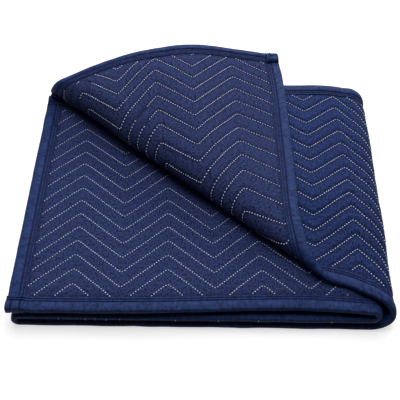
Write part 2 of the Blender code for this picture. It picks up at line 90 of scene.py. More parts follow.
def through(table: tuple[tuple[float, float], ...], x: Array) -> Array:
    """Smooth curve through a table, cubic pieces with shared slopes.

    Args:
        table: Rows of (x, y) with rising x.
        x: Places to read the curve at, held inside the table.

    Returns:
        The curve's value at each place.
    """
    knots = np.array(table)
    kx, ky = knots[:, 0], knots[:, 1]
    slopes = np.gradient(ky, kx)
    x = np.clip(x, kx[0], kx[-1])
    i = np.clip(np.searchsorted(kx, x) - 1, 0, len(kx) - 2)
    span = kx[i + 1] - kx[i]
    t = (x - kx[i]) / span
    rise = ky[i + 1] - ky[i]
    bend_in = slopes[i] * span - rise
    bend_out = rise - slopes[i + 1] * span
    return ky[i] + t * rise + t * (1.0 - t) * (bend_in * (1.0 - t) + bend_out * t)


def soft_noise(x: Array, y: Array, size: float, seed: int) -> Array:
    """Smooth unevenness: random heights on a square net, eased between its knots.

    Args:
        x: First coordinate.
        y: Second coordinate.
        size: Spacing of the net, in the coordinates' unit.
        seed: Picks the net's random heights.

    Returns:
        Heights between -1 and 1.
    """
    count = NOISE_NET
    net = np.random.default_rng(seed).uniform(-1.0, 1.0, (count, count))
    gx, gy = x / size, y / size
    ix, iy = np.floor(gx).astype(int), np.floor(gy).astype(int)
    tx, ty = ease(gx - ix), ease(gy - iy)
    left, right = ix % count, (ix + 1) % count
    near, far = iy % count, (iy + 1) % count
    low = net[near, left] * (1.0 - tx) + net[near, right] * tx
    high = net[far, left] * (1.0 - tx) + net[far, right] * tx
    return low * (1.0 - ty) + high * ty


def bell(distance: Array, width: float) -> Array:
    """Bell curve exp(-(distance / width)^2)."""
    return np.exp(-((distance / width) ** 2))


def over_spots(spots: Spots, across: Array, down: Array) -> Array:
    """Smooth surface through nine spots: a parabola through three values each way.

    With t from 0 to 1, the weights of the three values are (1 - t)(1 - 2t),
    4t(1 - t) and t(2t - 1).

    Args:
        spots: Values at the first, middle and last place across, each with
            three values down.
        across: Share of the way across, 0 to 1.
        down: Share of the way down, 0 to 1.

    Returns:
        The surface's value at each place.
    """
    weights = [np.stack(((1.0 - t) * (1.0 - 2.0 * t), 4.0 * t * (1.0 - t), t * (2.0 * t - 1.0)))
               for t in (across, down)]
    return np.einsum("i...,ij,j...->...", weights[0], np.array(spots), weights[1])


# ------------------------------------------------------------------- meshes
def make_piece(name: str, points: Array, faces: Array, flat: Array, shade: Array | None = None) -> Any:
    """Make an object from arrays, at the origin, with a UV map in metres.

    Args:
        name: Name of the piece.
        points: Vertex places, n by 3.
        faces: Corner indices, m by 4 or m by 3.
        flat: Flat coordinates of the vertices, n by 2, for the UV map.
        shade: One number for each vertex, kept as the attribute "worked".

    Returns:
        The new object, linked to the scene.
    """
    corners = faces.shape[1]
    mesh = bpy.data.meshes.new(name)
    mesh.vertices.add(len(points))
    mesh.vertices.foreach_set("co", np.ascontiguousarray(points, dtype=np.float32).ravel())
    mesh.loops.add(faces.size)
    mesh.loops.foreach_set("vertex_index", faces.astype(np.int32).ravel())
    mesh.polygons.add(len(faces))
    mesh.polygons.foreach_set("loop_start", np.arange(0, faces.size, corners, dtype=np.int32))
    mesh.polygons.foreach_set("use_smooth", np.ones(len(faces), dtype=bool))
    layer = mesh.uv_layers.new(name="flat")
    layer.data.foreach_set("uv", flat[faces.ravel()].astype(np.float32).ravel())
    if shade is not None:
        near_sewing_shade = mesh.attributes.new("near_sewing_shade", "FLOAT", "POINT")
        near_sewing_shade.data.foreach_set("value", shade.astype(np.float32).ravel())
    mesh.update(calc_edges=True)
    mesh.validate()
    piece = bpy.data.objects.new(name, mesh)
    bpy.context.scene.collection.objects.link(piece)
    return piece


def net_faces(rows: int, columns: int, wrap_rows: bool = False) -> Array:
    """Quads of a net of points numbered row by row.

    Args:
        rows: Number of rows of points.
        columns: Number of points in a row.
        wrap_rows: Whether the last row joins the first one.

    Returns:
        Corner indices, one quad for each row.
    """
    last = rows if wrap_rows else rows - 1
    j, i = np.meshgrid(np.arange(last), np.arange(columns - 1), indexing="ij")
    up = (j + 1) % rows
    quads = np.stack((j * columns + i, j * columns + i + 1, up * columns + i + 1, up * columns + i), -1)
    return quads.reshape(-1, 4)


def read_net(net: Array, row: Array, column: Array) -> Array:
    """Value between the points of a net: four neighbours mixed by nearness.

    Args:
        net: Rows by columns by k values.
        row: Row numbers, with fractions.
        column: Column numbers, with fractions.

    Returns:
        The mixed values, one row of k for each place asked.
    """
    j = np.clip(np.floor(row).astype(int), 0, net.shape[0] - 2)
    i = np.clip(np.floor(column).astype(int), 0, net.shape[1] - 2)
    b = (row - j)[..., None]
    a = (column - i)[..., None]
    near = net[j, i] * (1.0 - a) + net[j, i + 1] * a
    far = net[j + 1, i] * (1.0 - a) + net[j + 1, i + 1] * a
    return near * (1.0 - b) + far * b


# ------------------------------------------------------------------- finishes
def linear(code: str) -> tuple[float, float, float, float]:
    """Turn an sRGB hex colour into linear light, with full alpha.

    Args:
        code: Six hex digits after a hash.

    Returns:
        Red, green, blue and alpha.
    """
    parts = [int(code[i:i + 2], 16) / 255.0 for i in (1, 3, 5)]
    light = [p / 12.92 if p <= 0.04045 else ((p + 0.055) / 1.055) ** 2.4 for p in parts]
    return (light[0], light[1], light[2], 1.0)


def add_node(tree: Any, kind: str, settings: dict[str, Any] | None = None,
             inputs: dict[Any, Any] | None = None) -> Any:
    """Add a node with its settings and its inputs.

    Args:
        tree: Node tree to add it to.
        kind: Blender's name for the node's type.
        settings: Properties to set on the node.
        inputs: Socket name or number to a value, or to an output to link from.

    Returns:
        The new node.
    """
    node = tree.nodes.new(kind)
    for key, value in (settings or {}).items():
        setattr(node, key, value)
    for key, value in (inputs or {}).items():
        if isinstance(value, bpy.types.NodeSocket):
            tree.links.new(value, node.inputs[key])
        else:
            node.inputs[key].default_value = value
    return node


def new_tree(name: str) -> tuple[Any, Any, Any]:
    """Start a material with only its Principled shader.

    Args:
        name: Name of the material.

    Returns:
        The material, its node tree and its shader.
    """
    material = bpy.data.materials.new(name)
    material.use_nodes = True
    tree = material.node_tree
    return material, tree, tree.nodes["Principled BSDF"]


def woven_height(tree: Any, flat: Any, pitch: float) -> Any:
    """Height of a plain weave: two crossed bands of threads, the higher one shows.

    Args:
        tree: Node tree to build in.
        flat: Output with flat coordinates in metres.
        pitch: Distance from thread to thread, in metres.

    Returns:
        Output with the height, 0 to 1.
    """
    bands = []
    for direction in ("X", "Y"):
        bands.append(add_node(tree, "ShaderNodeTexWave", {
            "wave_type": "BANDS", "bands_direction": direction, "wave_profile": "SIN"}, {
            "Vector": flat, "Scale": WAVE_BAND / pitch, "Distortion": 0.6,
            "Detail": 1.0, "Detail Scale": 1.5}).outputs["Fac"])
    return add_node(tree, "ShaderNodeMath", {"operation": "MAXIMUM"}, {
        0: bands[0], 1: bands[1]}).outputs[0]


@dataclass(frozen=True)
class QuiltedCloth:
    """Matt woven cotton and polyester cloth over batting, dyed navy.

    Woven from spun yarn and quilted: soft and hairy, with no gloss, a faint
    bloom at grazing angles, a slightly uneven dye, and fine puckers that run
    out from every sewn line.  Down in the sewn grooves, and where the tape
    grips it, its colour is darkened as painted shade.
    """

    name: str = "quilted_navy_cloth"
    light: str = "#334070"       # where the yarn stands up
    dark: str = "#030824"        # between the yarns
    faded: str = "#212a58"       # rubbed patches
    deep: str = "#060b26"        # painted shade down in the sewn grooves and by the tape
    yarn_pitch: float = 0.0017   # real yarns are 0.6 mm apart, drawn coarser so that they show
    fleck: float = 0.0021        # flecks of the spun yarn, drawn as coarse as they show
    blotch: float = 0.045        # size of the dye's uneven patches
    pucker: float = 0.0060       # size of the puckers beside the sewing
    yarn_depth: float = 0.0006
    pucker_depth: float = 0.0022
    roughness: float = 0.92
    specular: float = 0.15
    bloom: str = "#8d97c8"       # tint of the hairs at grazing angles
    bloom_weight: float = 0.03
    bloom_roughness: float = 0.5

    def build(self) -> Any:
        """Build the material.

        Returns:
            The cloth's material.
        """
        material, tree, shader = new_tree(self.name)
        flat = add_node(tree, "ShaderNodeUVMap", {"uv_map": "flat"}).outputs[0]
        near_sewing_shade = add_node(tree, "ShaderNodeAttribute", {"attribute_name": "near_sewing_shade"}).outputs["Fac"]
        weave = woven_height(tree, flat, self.yarn_pitch)
        drawn = add_node(tree, "ShaderNodeMapping", {}, {
            "Vector": flat, "Scale": (1.0, 0.6, 1.0)}).outputs[0]
        slub = add_node(tree, "ShaderNodeTexNoise", {}, {
            "Vector": drawn, "Scale": 1.0 / self.fleck, "Detail": 2.0, "Roughness": 0.6}).outputs["Fac"]
        patches = add_node(tree, "ShaderNodeTexNoise", {}, {
            "Vector": flat, "Scale": 1.0 / self.blotch, "Detail": 4.0, "Roughness": 0.55}).outputs["Fac"]
        pucker = add_node(tree, "ShaderNodeTexNoise", {}, {
            "Vector": flat, "Scale": 1.0 / self.pucker, "Detail": 2.0, "Roughness": 0.5}).outputs["Fac"]
        yarns = add_node(tree, "ShaderNodeMath", {"operation": "MULTIPLY_ADD"}, {
            0: weave, 1: 0.25, 2: slub}).outputs[0]
        spread = add_node(tree, "ShaderNodeMapRange", {}, {
            "Value": yarns, "From Min": 0.54, "From Max": 0.76}).outputs[0]
        colour = add_node(tree, "ShaderNodeMix", {"data_type": "RGBA"}, {
            0: spread, 6: linear(self.dark), 7: linear(self.light)}).outputs[2]
        rubbed = add_node(tree, "ShaderNodeMapRange", {}, {
            "Value": patches, "From Min": 0.48, "From Max": 0.85, "To Max": 0.35}).outputs[0]
        colour = add_node(tree, "ShaderNodeMix", {"data_type": "RGBA"}, {
            0: rubbed, 6: colour, 7: linear(self.faded)}).outputs[2]
        # painted shade: darker down in the sewn grooves and where the tape grips the cloth
        painted_groove_shade = add_node(tree, "ShaderNodeMapRange", {}, {
            "Value": near_sewing_shade, "From Min": 0.55, "From Max": 1.0, "To Max": 0.45}).outputs[0]
        colour = add_node(tree, "ShaderNodeMix", {"data_type": "RGBA"}, {
            0: painted_groove_shade, 6: colour, 7: linear(self.deep)}).outputs[2]
        ripples = add_node(tree, "ShaderNodeMath", {"operation": "MULTIPLY"}, {
            0: pucker, 1: near_sewing_shade}).outputs[0]
        fine = add_node(tree, "ShaderNodeBump", {}, {
            "Height": yarns, "Strength": 0.55, "Distance": self.yarn_depth}).outputs[0]
        bumps = add_node(tree, "ShaderNodeBump", {}, {
            "Height": ripples, "Strength": 0.7, "Distance": self.pucker_depth, "Normal": fine}).outputs[0]
        tree.links.new(colour, shader.inputs["Base Color"])
        tree.links.new(bumps, shader.inputs["Normal"])
        shader.inputs["Roughness"].default_value = self.roughness
        shader.inputs["Specular IOR Level"].default_value = self.specular
        shader.inputs["Sheen Weight"].default_value = self.bloom_weight
        shader.inputs["Sheen Roughness"].default_value = self.bloom_roughness
        shader.inputs["Sheen Tint"].default_value = linear(self.bloom)
        return material


@dataclass(frozen=True)
class WovenTape:
    """Smooth woven polypropylene binding tape, dyed royal navy.

    Flat filament yarn, closely woven and pressed in its fold: brighter and
    smoother than the quilted cloth, with a low silky gloss, fine ribs across
    it and the small dents of use.  Its colour is partly uneven tone and partly
    painted light: lighter where ribs and dents rise, as painted highlight, and
    darker in the dents and down in the sewn seams, as painted shade.
    """

    name: str = "woven_binding_tape"
    light: str = "#2d4682"       # partly uneven tone, partly painted highlight where ribs and dents rise
    dark: str = "#080f2f"        # partly uneven tone, partly painted shade in its small dents
    deep: str = "#050c38"        # painted shade down in the sewn seams
    rib_pitch: float = 0.0014    # real ribs are 0.5 mm apart, drawn coarser so that they show
    rib_depth: float = 0.0004
    dent: float = 0.012          # size of the dents that handling leaves
    dent_depth: float = 0.0030
    roughness: float = 0.6
    specular: float = 0.12
    bloom: str = "#8b9ad6"       # tint of the filaments at grazing angles
    bloom_weight: float = 0.01
    bloom_roughness: float = 0.4

    def build(self) -> Any:
        """Build the material.

        Returns:
            The tape's material.
        """
        material, tree, shader = new_tree(self.name)
        flat = add_node(tree, "ShaderNodeUVMap", {"uv_map": "flat"}).outputs[0]
        near_sewing_shade = add_node(tree, "ShaderNodeAttribute", {"attribute_name": "near_sewing_shade"}).outputs["Fac"]
        weave = woven_height(tree, flat, self.rib_pitch)
        drawn = add_node(tree, "ShaderNodeMapping", {}, {
            "Vector": flat, "Scale": (2.2, 1.2, 1.0)}).outputs[0]
        dents = add_node(tree, "ShaderNodeTexNoise", {}, {
            "Vector": drawn, "Scale": 1.0 / self.dent, "Detail": 5.0, "Roughness": 0.72}).outputs["Fac"]
        mixed = add_node(tree, "ShaderNodeMath", {"operation": "MULTIPLY_ADD"}, {
            0: weave, 1: 0.25, 2: dents}).outputs[0]
        # painted highlight and shade: the colour follows the height of the ribs and dents
        spread = add_node(tree, "ShaderNodeMapRange", {}, {
            "Value": mixed, "From Min": 0.48, "From Max": 0.88}).outputs[0]
        colour = add_node(tree, "ShaderNodeMix", {"data_type": "RGBA"}, {
            0: spread, 6: linear(self.dark), 7: linear(self.light)}).outputs[2]
        # painted shade in the sewn seams, by nearness to sewing
        painted_groove_shade = add_node(tree, "ShaderNodeMapRange", {}, {
            "Value": near_sewing_shade, "From Min": 0.2, "From Max": 0.8, "To Max": 1.0}).outputs[0]
        colour = add_node(tree, "ShaderNodeMix", {"data_type": "RGBA"}, {
            0: painted_groove_shade, 6: colour, 7: linear(self.deep)}).outputs[2]
        fine = add_node(tree, "ShaderNodeBump", {}, {
            "Height": weave, "Strength": 0.35, "Distance": self.rib_depth}).outputs[0]
        bumps = add_node(tree, "ShaderNodeBump", {}, {
            "Height": dents, "Strength": 0.6, "Distance": self.dent_depth, "Normal": fine}).outputs[0]
        tree.links.new(colour, shader.inputs["Base Color"])
        tree.links.new(bumps, shader.inputs["Normal"])
        shader.inputs["Roughness"].default_value = self.roughness
        shader.inputs["Specular IOR Level"].default_value = self.specular
        shader.inputs["Sheen Weight"].default_value = self.bloom_weight
        shader.inputs["Sheen Roughness"].default_value = self.bloom_roughness
        shader.inputs["Sheen Tint"].default_value = linear(self.bloom)
        return material


@dataclass(frozen=True)
class SewingThread:
    """Spun polyester sewing thread: matt, faintly hairy, pulled tight.

    Two-ply yarn: its twist shows as a slight change of tone along a stitch.
    """

    name: str
    light: str
    dark: str
    twist: float = 0.004         # size of the change of tone
    roughness: float = 0.7

    def build(self) -> Any:
        """Build the material.

        Returns:
            The thread's material.
        """
        material, tree, shader = new_tree(self.name)
        place = add_node(tree, "ShaderNodeTexCoord").outputs["Object"]
        twist = add_node(tree, "ShaderNodeTexNoise", {}, {
            "Vector": place, "Scale": 1.0 / self.twist, "Detail": 2.0, "Roughness": 0.7}).outputs["Fac"]
        spread = add_node(tree, "ShaderNodeMapRange", {}, {
            "Value": twist, "From Min": 0.3, "From Max": 0.7}).outputs[0]
        colour = add_node(tree, "ShaderNodeMix", {"data_type": "RGBA"}, {
            0: spread, 6: linear(self.dark), 7: linear(self.light)}).outputs[2]
        tree.links.new(colour, shader.inputs["Base Color"])
        shader.inputs["Roughness"].default_value = self.roughness
        return material


@dataclass(frozen=True)
class StudioPaper:
    """Matt white background paper: even, with a very faint tooth.

    It glows a little, so that it looks white however it is lit.
    """

    name: str = "studio_paper"
    white: str = "#cdcdcd"
    shaded: str = "#c9c9c9"      # down in the tooth
    tooth: float = 900.0         # of its small bumps in a metre
    roughness: float = 0.95
    specular: float = 0.1
    glow: float = 0.63

    def build(self) -> Any:
        """Build the material.

        Returns:
            The paper's material.
        """
        material, tree, shader = new_tree(self.name)
        place = add_node(tree, "ShaderNodeTexCoord").outputs["Object"]
        tooth = add_node(tree, "ShaderNodeTexNoise", {}, {
            "Vector": place, "Scale": self.tooth, "Detail": 2.0}).outputs["Fac"]
        colour = add_node(tree, "ShaderNodeMix", {"data_type": "RGBA"}, {
            0: tooth, 6: linear(self.shaded), 7: linear(self.white)}).outputs[2]
        tree.links.new(colour, shader.inputs["Base Color"])
        shader.inputs["Roughness"].default_value = self.roughness
        shader.inputs["Specular IOR Level"].default_value = self.specular
        shader.inputs["Emission Color"].default_value = (1.0, 1.0, 1.0, 1.0)
        shader.inputs["Emission Strength"].default_value = self.glow
        return material


# ------------------------------------------------------------ the folded form
@dataclass(frozen=True)
class Crease:
    """A soft ridge (or trough, where its height is negative) across the cloth.

    It lies on the top layer spread out flat: its middle, its direction, half
    its length, half its width, and its height.
    """

    x: float
    y: float
    degrees: float
    length: float
    width: float
    height: float

    def rise(self, x: Array, y: Array) -> Array:
        """Height of the crease: a bell along it times a bell across it.

        Args:
            x: Place across the stack, spread out flat.
            y: Place towards the back, spread out flat.

        Returns:
            Height in metres, less than 0 in a trough.
        """
        c, s = math.cos(math.radians(self.degrees)), math.sin(math.radians(self.degrees))
        along = (x - self.x) * c + (y - self.y) * s
        across = (y - self.y) * c - (x - self.x) * s
        return self.height * bell(along, self.length) * bell(across, self.width)


CREASES = (
    # x, y, degrees, half length, half width, height
    Crease(0.110, 0.245, 45.0, 0.022, 0.0042, -0.0016),
    Crease(0.128, 0.241, 59.0, 0.007, 0.0035, -0.0013),
    # nearly flat: these two mark where the flap's sewing sinks out of sight
    Crease(0.042, 0.353, 5.0, 0.085, 0.0270, -0.0003),
    Crease(0.018, 0.322, 135.0, 0.020, 0.0130, -0.0003),
)


@dataclass(frozen=True)
class FoldedStack:
    """The shape in which the panel lies: four layers, three folds and a roll."""

    shift: tuple[float, float, float] = (-0.254010, -0.237380, 0.0)   # own corner to the origin
    depth: float = 0.410         # of the lower layers, from front to back
    top_back: float = 0.413      # back edge of the top layer
    tape_width: float = 0.020
    lower_z: float = 0.0045      # mid-heights of the three level layers
    middle_z: float = 0.0205
    upper_z: float = 0.0365
    layer_gap: float = 0.0015    # between the upper and the top layer
    quilt_half: float = 0.0045   # half the cloth's thickness between stitch lines
    small_fold_r: float = 0.0080  # mid-radius of the two inner folds
    left_fold_x: float = 0.0115  # where the fold of the middle and lower layers starts
    end_spread: float = 0.0025   # the upper layer's bound end is pressed out by this
    end_run: float = 0.0300      # over this length
    inner_fold_x: float = 0.4815  # where the two folds at the right start
    outer_fold_x: float = 0.4800
    outer_fold_reach: float = 0.0282   # how far the outer fold stands out
    outer_fold_run: float = 0.0760     # length of cloth in it
    swell: float = 0.0150        # rise of the top layer behind the roll
    swell_start: float = -0.010  # how far behind the fold line it starts
    swell_rise: float = 0.130    # and over which distance it rises
    swell_front: float = 0.200   # it also rises over this distance from the front
    swell_drop: float = 0.35     # share of it that is lost at the right
    swell_drop_x: tuple[float, float] = (0.440, 0.490)   # between these places
    roll_back: tuple[float, float] = (0.0081, 0.3813)    # ends of the roll's fold line
    roll_front: tuple[float, float] = (0.3977, 0.0593)
    flap_edge_x: float = 0.388   # where the flap lies settled on the layer below
    flap_arch: float = 0.190     # distance to the left over which it arches up
    flap_settle: float = 0.090   # distance from the roll over which it comes down
    upper_front: tuple[tuple[float, float], ...] = (
        # x, how far the upper layer's front edge is drawn in
        (0.000, 0.000), (0.180, 0.001), (0.300, 0.006), (0.390, 0.008), (0.480, 0.003))
    top_front: tuple[tuple[float, float], ...] = (
        # x, y of the top layer's front edge, spread out flat
        (-0.040, 0.0065), (0.060, 0.0138), (0.140, 0.0254), (0.240, 0.0413), (0.320, 0.0541),
        (0.365, 0.0555), (0.405, 0.0500), (0.445, 0.0400), (0.480, 0.0230))
    top_left: tuple[tuple[float, float], ...] = (
        # y, x of the free left edge, spread out flat
        (0.005, -0.0160), (0.020, -0.0185), (0.090, -0.0245), (0.180, -0.0215), (0.280, -0.0160),
        (0.350, -0.0095), (0.385, -0.0030), (0.413, 0.0020))
    roll_radius: tuple[tuple[float, float], ...] = (
        # share of the fold line, mid-radius of the roll
        (0.00, 0.0160), (0.12, 0.0235), (0.35, 0.0240), (0.60, 0.0200), (0.80, 0.0145),
        (1.00, 0.0105))
    roll_bulge: tuple[tuple[float, float], ...] = (
        # share of the fold line, how far the roll is pushed forward
        (0.00, -0.0070), (0.12, -0.0005), (0.28, 0.0045), (0.50, 0.0045), (0.80, 0.0010),
        (1.00, 0.0000))
    creases: tuple[Crease, ...] = CREASES
    crease_run: float = 0.04     # the creases come in over this length of the top layer
    waves: tuple[tuple[float, float, int], ...] = (
        # height, size and seed of the cloth's soft waves
        (0.0007, 0.075, 3), (0.0004, 0.032, 5))
    waves_inside: float = 0.3    # share of them left in the layers that carry the others

    @property
    def top_z(self) -> float:
        """Mid-height of the top layer."""
        return self.upper_z + 2.0 * self.quilt_half + self.layer_gap

    @property
    def upper_end(self) -> float:
        """Length coordinate where the upper layer ends."""
        return self.inner_fold_x

    @property
    def small_fold_run(self) -> float:
        """Length of cloth in each of the two inner folds."""
        return math.pi * self.small_fold_r

    @property
    def middle_start(self) -> float:
        """Length coordinate where the middle layer starts."""
        return self.upper_end + self.small_fold_run

    @property
    def middle_end(self) -> float:
        """Length coordinate where the middle layer ends."""
        return self.middle_start + self.inner_fold_x - self.left_fold_x

    @property
    def lower_start(self) -> float:
        """Length coordinate where the lower layer starts."""
        return self.middle_end + self.small_fold_run

    @property
    def lower_end(self) -> float:
        """Length coordinate where the lower layer ends."""
        return self.lower_start + self.outer_fold_x - self.left_fold_x

    @property
    def top_start(self) -> float:
        """Length coordinate where the top layer starts."""
        return self.lower_end + self.outer_fold_run

    def roll_frame(self) -> tuple[Array, float, Array, Array]:
        """Fold line of the roll.

        Returns:
            Its start, length, direction and the direction towards the corner.
        """
        start = np.array(self.roll_back)
        run = np.array(self.roll_front) - start
        length = float(np.linalg.norm(run))
        along = run / length
        return start, length, along, np.array((along[1], -along[0]))

    def roll_place(self, x: Array, y: Array) -> tuple[Array, Array]:
        """Share along the fold line, and distance in front of it.

        Args:
            x: Place across the stack, spread out flat.
            y: Place towards the back.

        Returns:
            The share (0 at the back left end) and the distance.
        """
        start, length, along, outward = self.roll_frame()
        share = ((x - start[0]) * along[0] + (y - start[1]) * along[1]) / length
        ahead = (x - start[0]) * outward[0] + (y - start[1]) * outward[1]
        return share, ahead

    def top_height(self, x: Array, y: Array) -> Array:
        """Mid-height of the top layer: level, with a soft swell behind the roll.

        Args:
            x: Place across the stack.
            y: Place towards the back.

        Returns:
            The height of the cloth's middle.
        """
        _, ahead = self.roll_place(x, y)
        behind = ease((-ahead - self.swell_start) / self.swell_rise)
        drop_from, drop_to = self.swell_drop_x
        side = 1.0 - self.swell_drop * ease((x - drop_from) / (drop_to - drop_from))
        return self.top_z + self.swell * behind * ease(y / self.swell_front) * side

    def turn_back(self, x: Array, y: Array) -> tuple[Array, Array, Array]:
        """Lay a point of the spread-out top layer, whose corner rolls over.

        Behind the roll a point stays, on the roll it goes round a half turn,
        and past it the point is mirrored in the fold line and arches up.

        Args:
            x: Place across the stack, spread out flat.
            y: Place towards the back, spread out flat.

        Returns:
            Its place when laid: x, y and mid-height.
        """
        share, ahead = self.roll_place(x, y)
        outward = self.roll_frame()[3]
        radius = through(self.roll_radius, share)
        reach = 0.5 * math.pi * radius
        turn = np.clip((ahead + reach) / radius, 0.0, math.pi)
        on_roll = -reach + (radius + through(self.roll_bulge, share)) * np.sin(turn)
        placed = np.where(ahead < -reach, ahead, np.where(ahead < reach, on_roll, -ahead))
        px = x + outward[0] * (placed - ahead)
        py = y + outward[1] * (placed - ahead)
        settled = 2.0 * self.quilt_half + self.layer_gap
        arch = ease((self.flap_edge_x - px) / self.flap_arch)
        near_roll = 1.0 - ease((ahead - reach) / self.flap_settle)
        raised = 1.0 - (1.0 - arch) * (1.0 - near_roll)
        flap = settled + (2.0 * radius - settled) * raised
        lift = np.where(ahead < reach, radius * (1.0 - np.cos(turn)), flap)
        return px, py, self.top_height(px, np.minimum(py, self.top_back)) + lift

    def mid_surface(self, u: Array, y: Array) -> Array:
        """Middle of the cloth: straight layers joined by half turns.

        Args:
            u: Length coordinate along the panel.
            y: Coordinate across the panel.

        Returns:
            Places in the frame, with a last axis of 3.
        """
        turn_in = (u - self.upper_end) / self.small_fold_r
        turn_left = (u - self.middle_end) / self.small_fold_r
        turn_out = math.pi * (u - self.lower_end) / self.outer_fold_run
        mid_in = 0.5 * (self.upper_z + self.middle_z)
        mid_left = 0.5 * (self.middle_z + self.lower_z)
        outer_top = self.top_height(np.full_like(u, self.outer_fold_x), y)
        tx, ty, tz = self.turn_back(self.outer_fold_x - (u - self.top_start), y)
        pieces = (
            (self.upper_end, u - self.end_spread * (1.0 - ease(u / self.end_run)), y,
             np.full_like(u, self.upper_z)),
            (self.middle_start, self.inner_fold_x + self.small_fold_r * np.sin(turn_in), y,
             mid_in + self.small_fold_r * np.cos(turn_in)),
            (self.middle_end, self.inner_fold_x - (u - self.middle_start), y,
             np.full_like(u, self.middle_z)),
            (self.lower_start, self.left_fold_x - self.small_fold_r * np.sin(turn_left), y,
             mid_left + self.small_fold_r * np.cos(turn_left)),
            (self.lower_end, self.left_fold_x + (u - self.lower_start), y,
             np.full_like(u, self.lower_z)),
            (self.top_start, self.outer_fold_x + self.outer_fold_reach * np.sin(turn_out), y,
             0.5 * (outer_top + self.lower_z) - 0.5 * (outer_top - self.lower_z) * np.cos(turn_out)),
            (math.inf, tx, ty, tz),
        )
        ends = [u < piece[0] for piece in pieces]
        laid = [np.select(ends, [piece[axis] for piece in pieces]) for axis in (1, 2, 3)]
        return np.stack(laid, -1) + np.array(self.shift)

    def wander(self, u: Array, y: Array) -> Array:
        """How far the laid cloth strays from its even form: creases and soft waves.

        Args:
            u: Length coordinate along the panel.
            y: Coordinate across the panel.

        Returns:
            Rise along the cloth's normal, for both of its faces alike.
        """
        x, yy = self.plan_top(u, y)
        on_top = ease((u - self.top_start) / self.crease_run)
        rise = sum((crease.rise(x, yy) for crease in self.creases), np.zeros_like(u)) * on_top
        inside = (u < self.lower_end) & (u > self.middle_start)
        waves = sum(height * soft_noise(u, y, size, seed) for height, size, seed in self.waves)
        return rise + np.where(inside, self.waves_inside, 1.0) * waves

    def creased(self, u: Array, y: Array) -> Array:
        """How near the middle of a trough a flat point of the top layer is.

        Args:
            u: Length coordinate along the panel.
            y: Coordinate across the panel.

        Returns:
            The greatest share of a trough's own depth there, 0 to 1.
        """
        x, yy = self.plan_top(u, y)
        deep = [crease.rise(x, yy) / crease.height for crease in self.creases if crease.height < 0.0]
        return np.max(deep, axis=0) * (u > self.top_start)

    def normal(self, u: Array, y: Array) -> Array:
        """Unit normal of the middle surface, from short steps along and across it.

        Args:
            u: Length coordinate along the panel.
            y: Coordinate across the panel.

        Returns:
            Unit vectors, with a last axis of 3.
        """
        step = 0.0004
        along = self.mid_surface(u + step, y) - self.mid_surface(u - step, y)
        across = self.mid_surface(u, y + step) - self.mid_surface(u, y - step)
        out = np.cross(along, across)
        return out / np.linalg.norm(out, axis=-1, keepdims=True)

    def lay(self, u: Array, y: Array, rise: Array) -> Array:
        """Lay flat points into the folds.

        Args:
            u: Length coordinate along the panel.
            y: Coordinate across the panel.
            rise: Height above the cloth's middle, along its normal.

        Returns:
            Places in the frame, with a last axis of 3.
        """
        lifted = (rise + self.wander(u, y))[..., None]
        return self.mid_surface(u, y) + self.normal(u, y) * lifted

    def plan_top(self, u: Array, y: Array) -> tuple[Array, Array]:
        """Place of a flat point on the top layer, spread out flat."""
        return self.outer_fold_x - (u - self.top_start), y

    def plan_flap(self, u: Array, y: Array) -> tuple[Array, Array]:
        """Place of a flat point, mirrored in the roll's fold line.

        Args:
            u: Length coordinate along the panel.
            y: Coordinate across the panel.

        Returns:
            Place across the stack and towards the back.
        """
        x, y = self.plan_top(u, y)
        _, ahead = self.roll_place(x, y)
        outward = self.roll_frame()[3]
        return x - 2.0 * ahead * outward[0], y - 2.0 * ahead * outward[1]

    def front_edge(self, u: Array) -> Array:
        """Front edge of the spread-out panel by its length coordinate.

        Args:
            u: Length coordinate along the panel.

        Returns:
            Its y coordinate.
        """
        upper = through(self.upper_front, u) * ease((self.middle_start - u) / self.small_fold_run)
        outer = through(self.top_front, np.array(self.outer_fold_x))
        in_fold = outer * np.clip((u - self.lower_end) / self.outer_fold_run, 0.0, 1.0) ** 2
        top = through(self.top_front, self.outer_fold_x - (u - self.top_start))
        return np.where(u < self.lower_end, upper, np.where(u < self.top_start, in_fold, top))

    def back_edge(self, u: Array) -> Array:
        """Back edge of the spread-out panel by its length coordinate."""
        slip = ease((u - self.lower_end) / self.outer_fold_run)
        return self.depth + (self.top_back - self.depth) * slip

    def end_edge(self, y: Array) -> Array:
        """Length coordinate of the top layer's free left edge."""
        return self.top_start + self.outer_fold_x - through(self.top_left, y)

    def front_stretch(self, u: Array) -> Array:
        """Length of the front edge for each metre along the panel.

        Args:
            u: Length coordinate along the panel.

        Returns:
            The ratio, 1 where the edge runs straight along.
        """
        step = 0.001
        slope = (self.front_edge(u + step) - self.front_edge(u - step)) / (2.0 * step)
        return np.sqrt(1.0 + slope * slope)

    def margin(self, u: Array, y: Array) -> Array:
        """Distance of a flat point from the nearest edge of the panel.

        Args:
            u: Length coordinate along the panel.
            y: Coordinate across the panel.

        Returns:
            The least of the distances from the four edges.
        """
        front = (y - self.front_edge(u)) / self.front_stretch(u)
        back = self.back_edge(u) - y
        ends = np.minimum(u, self.end_edge(y) - u)
        return np.minimum(np.minimum(front, back), ends)


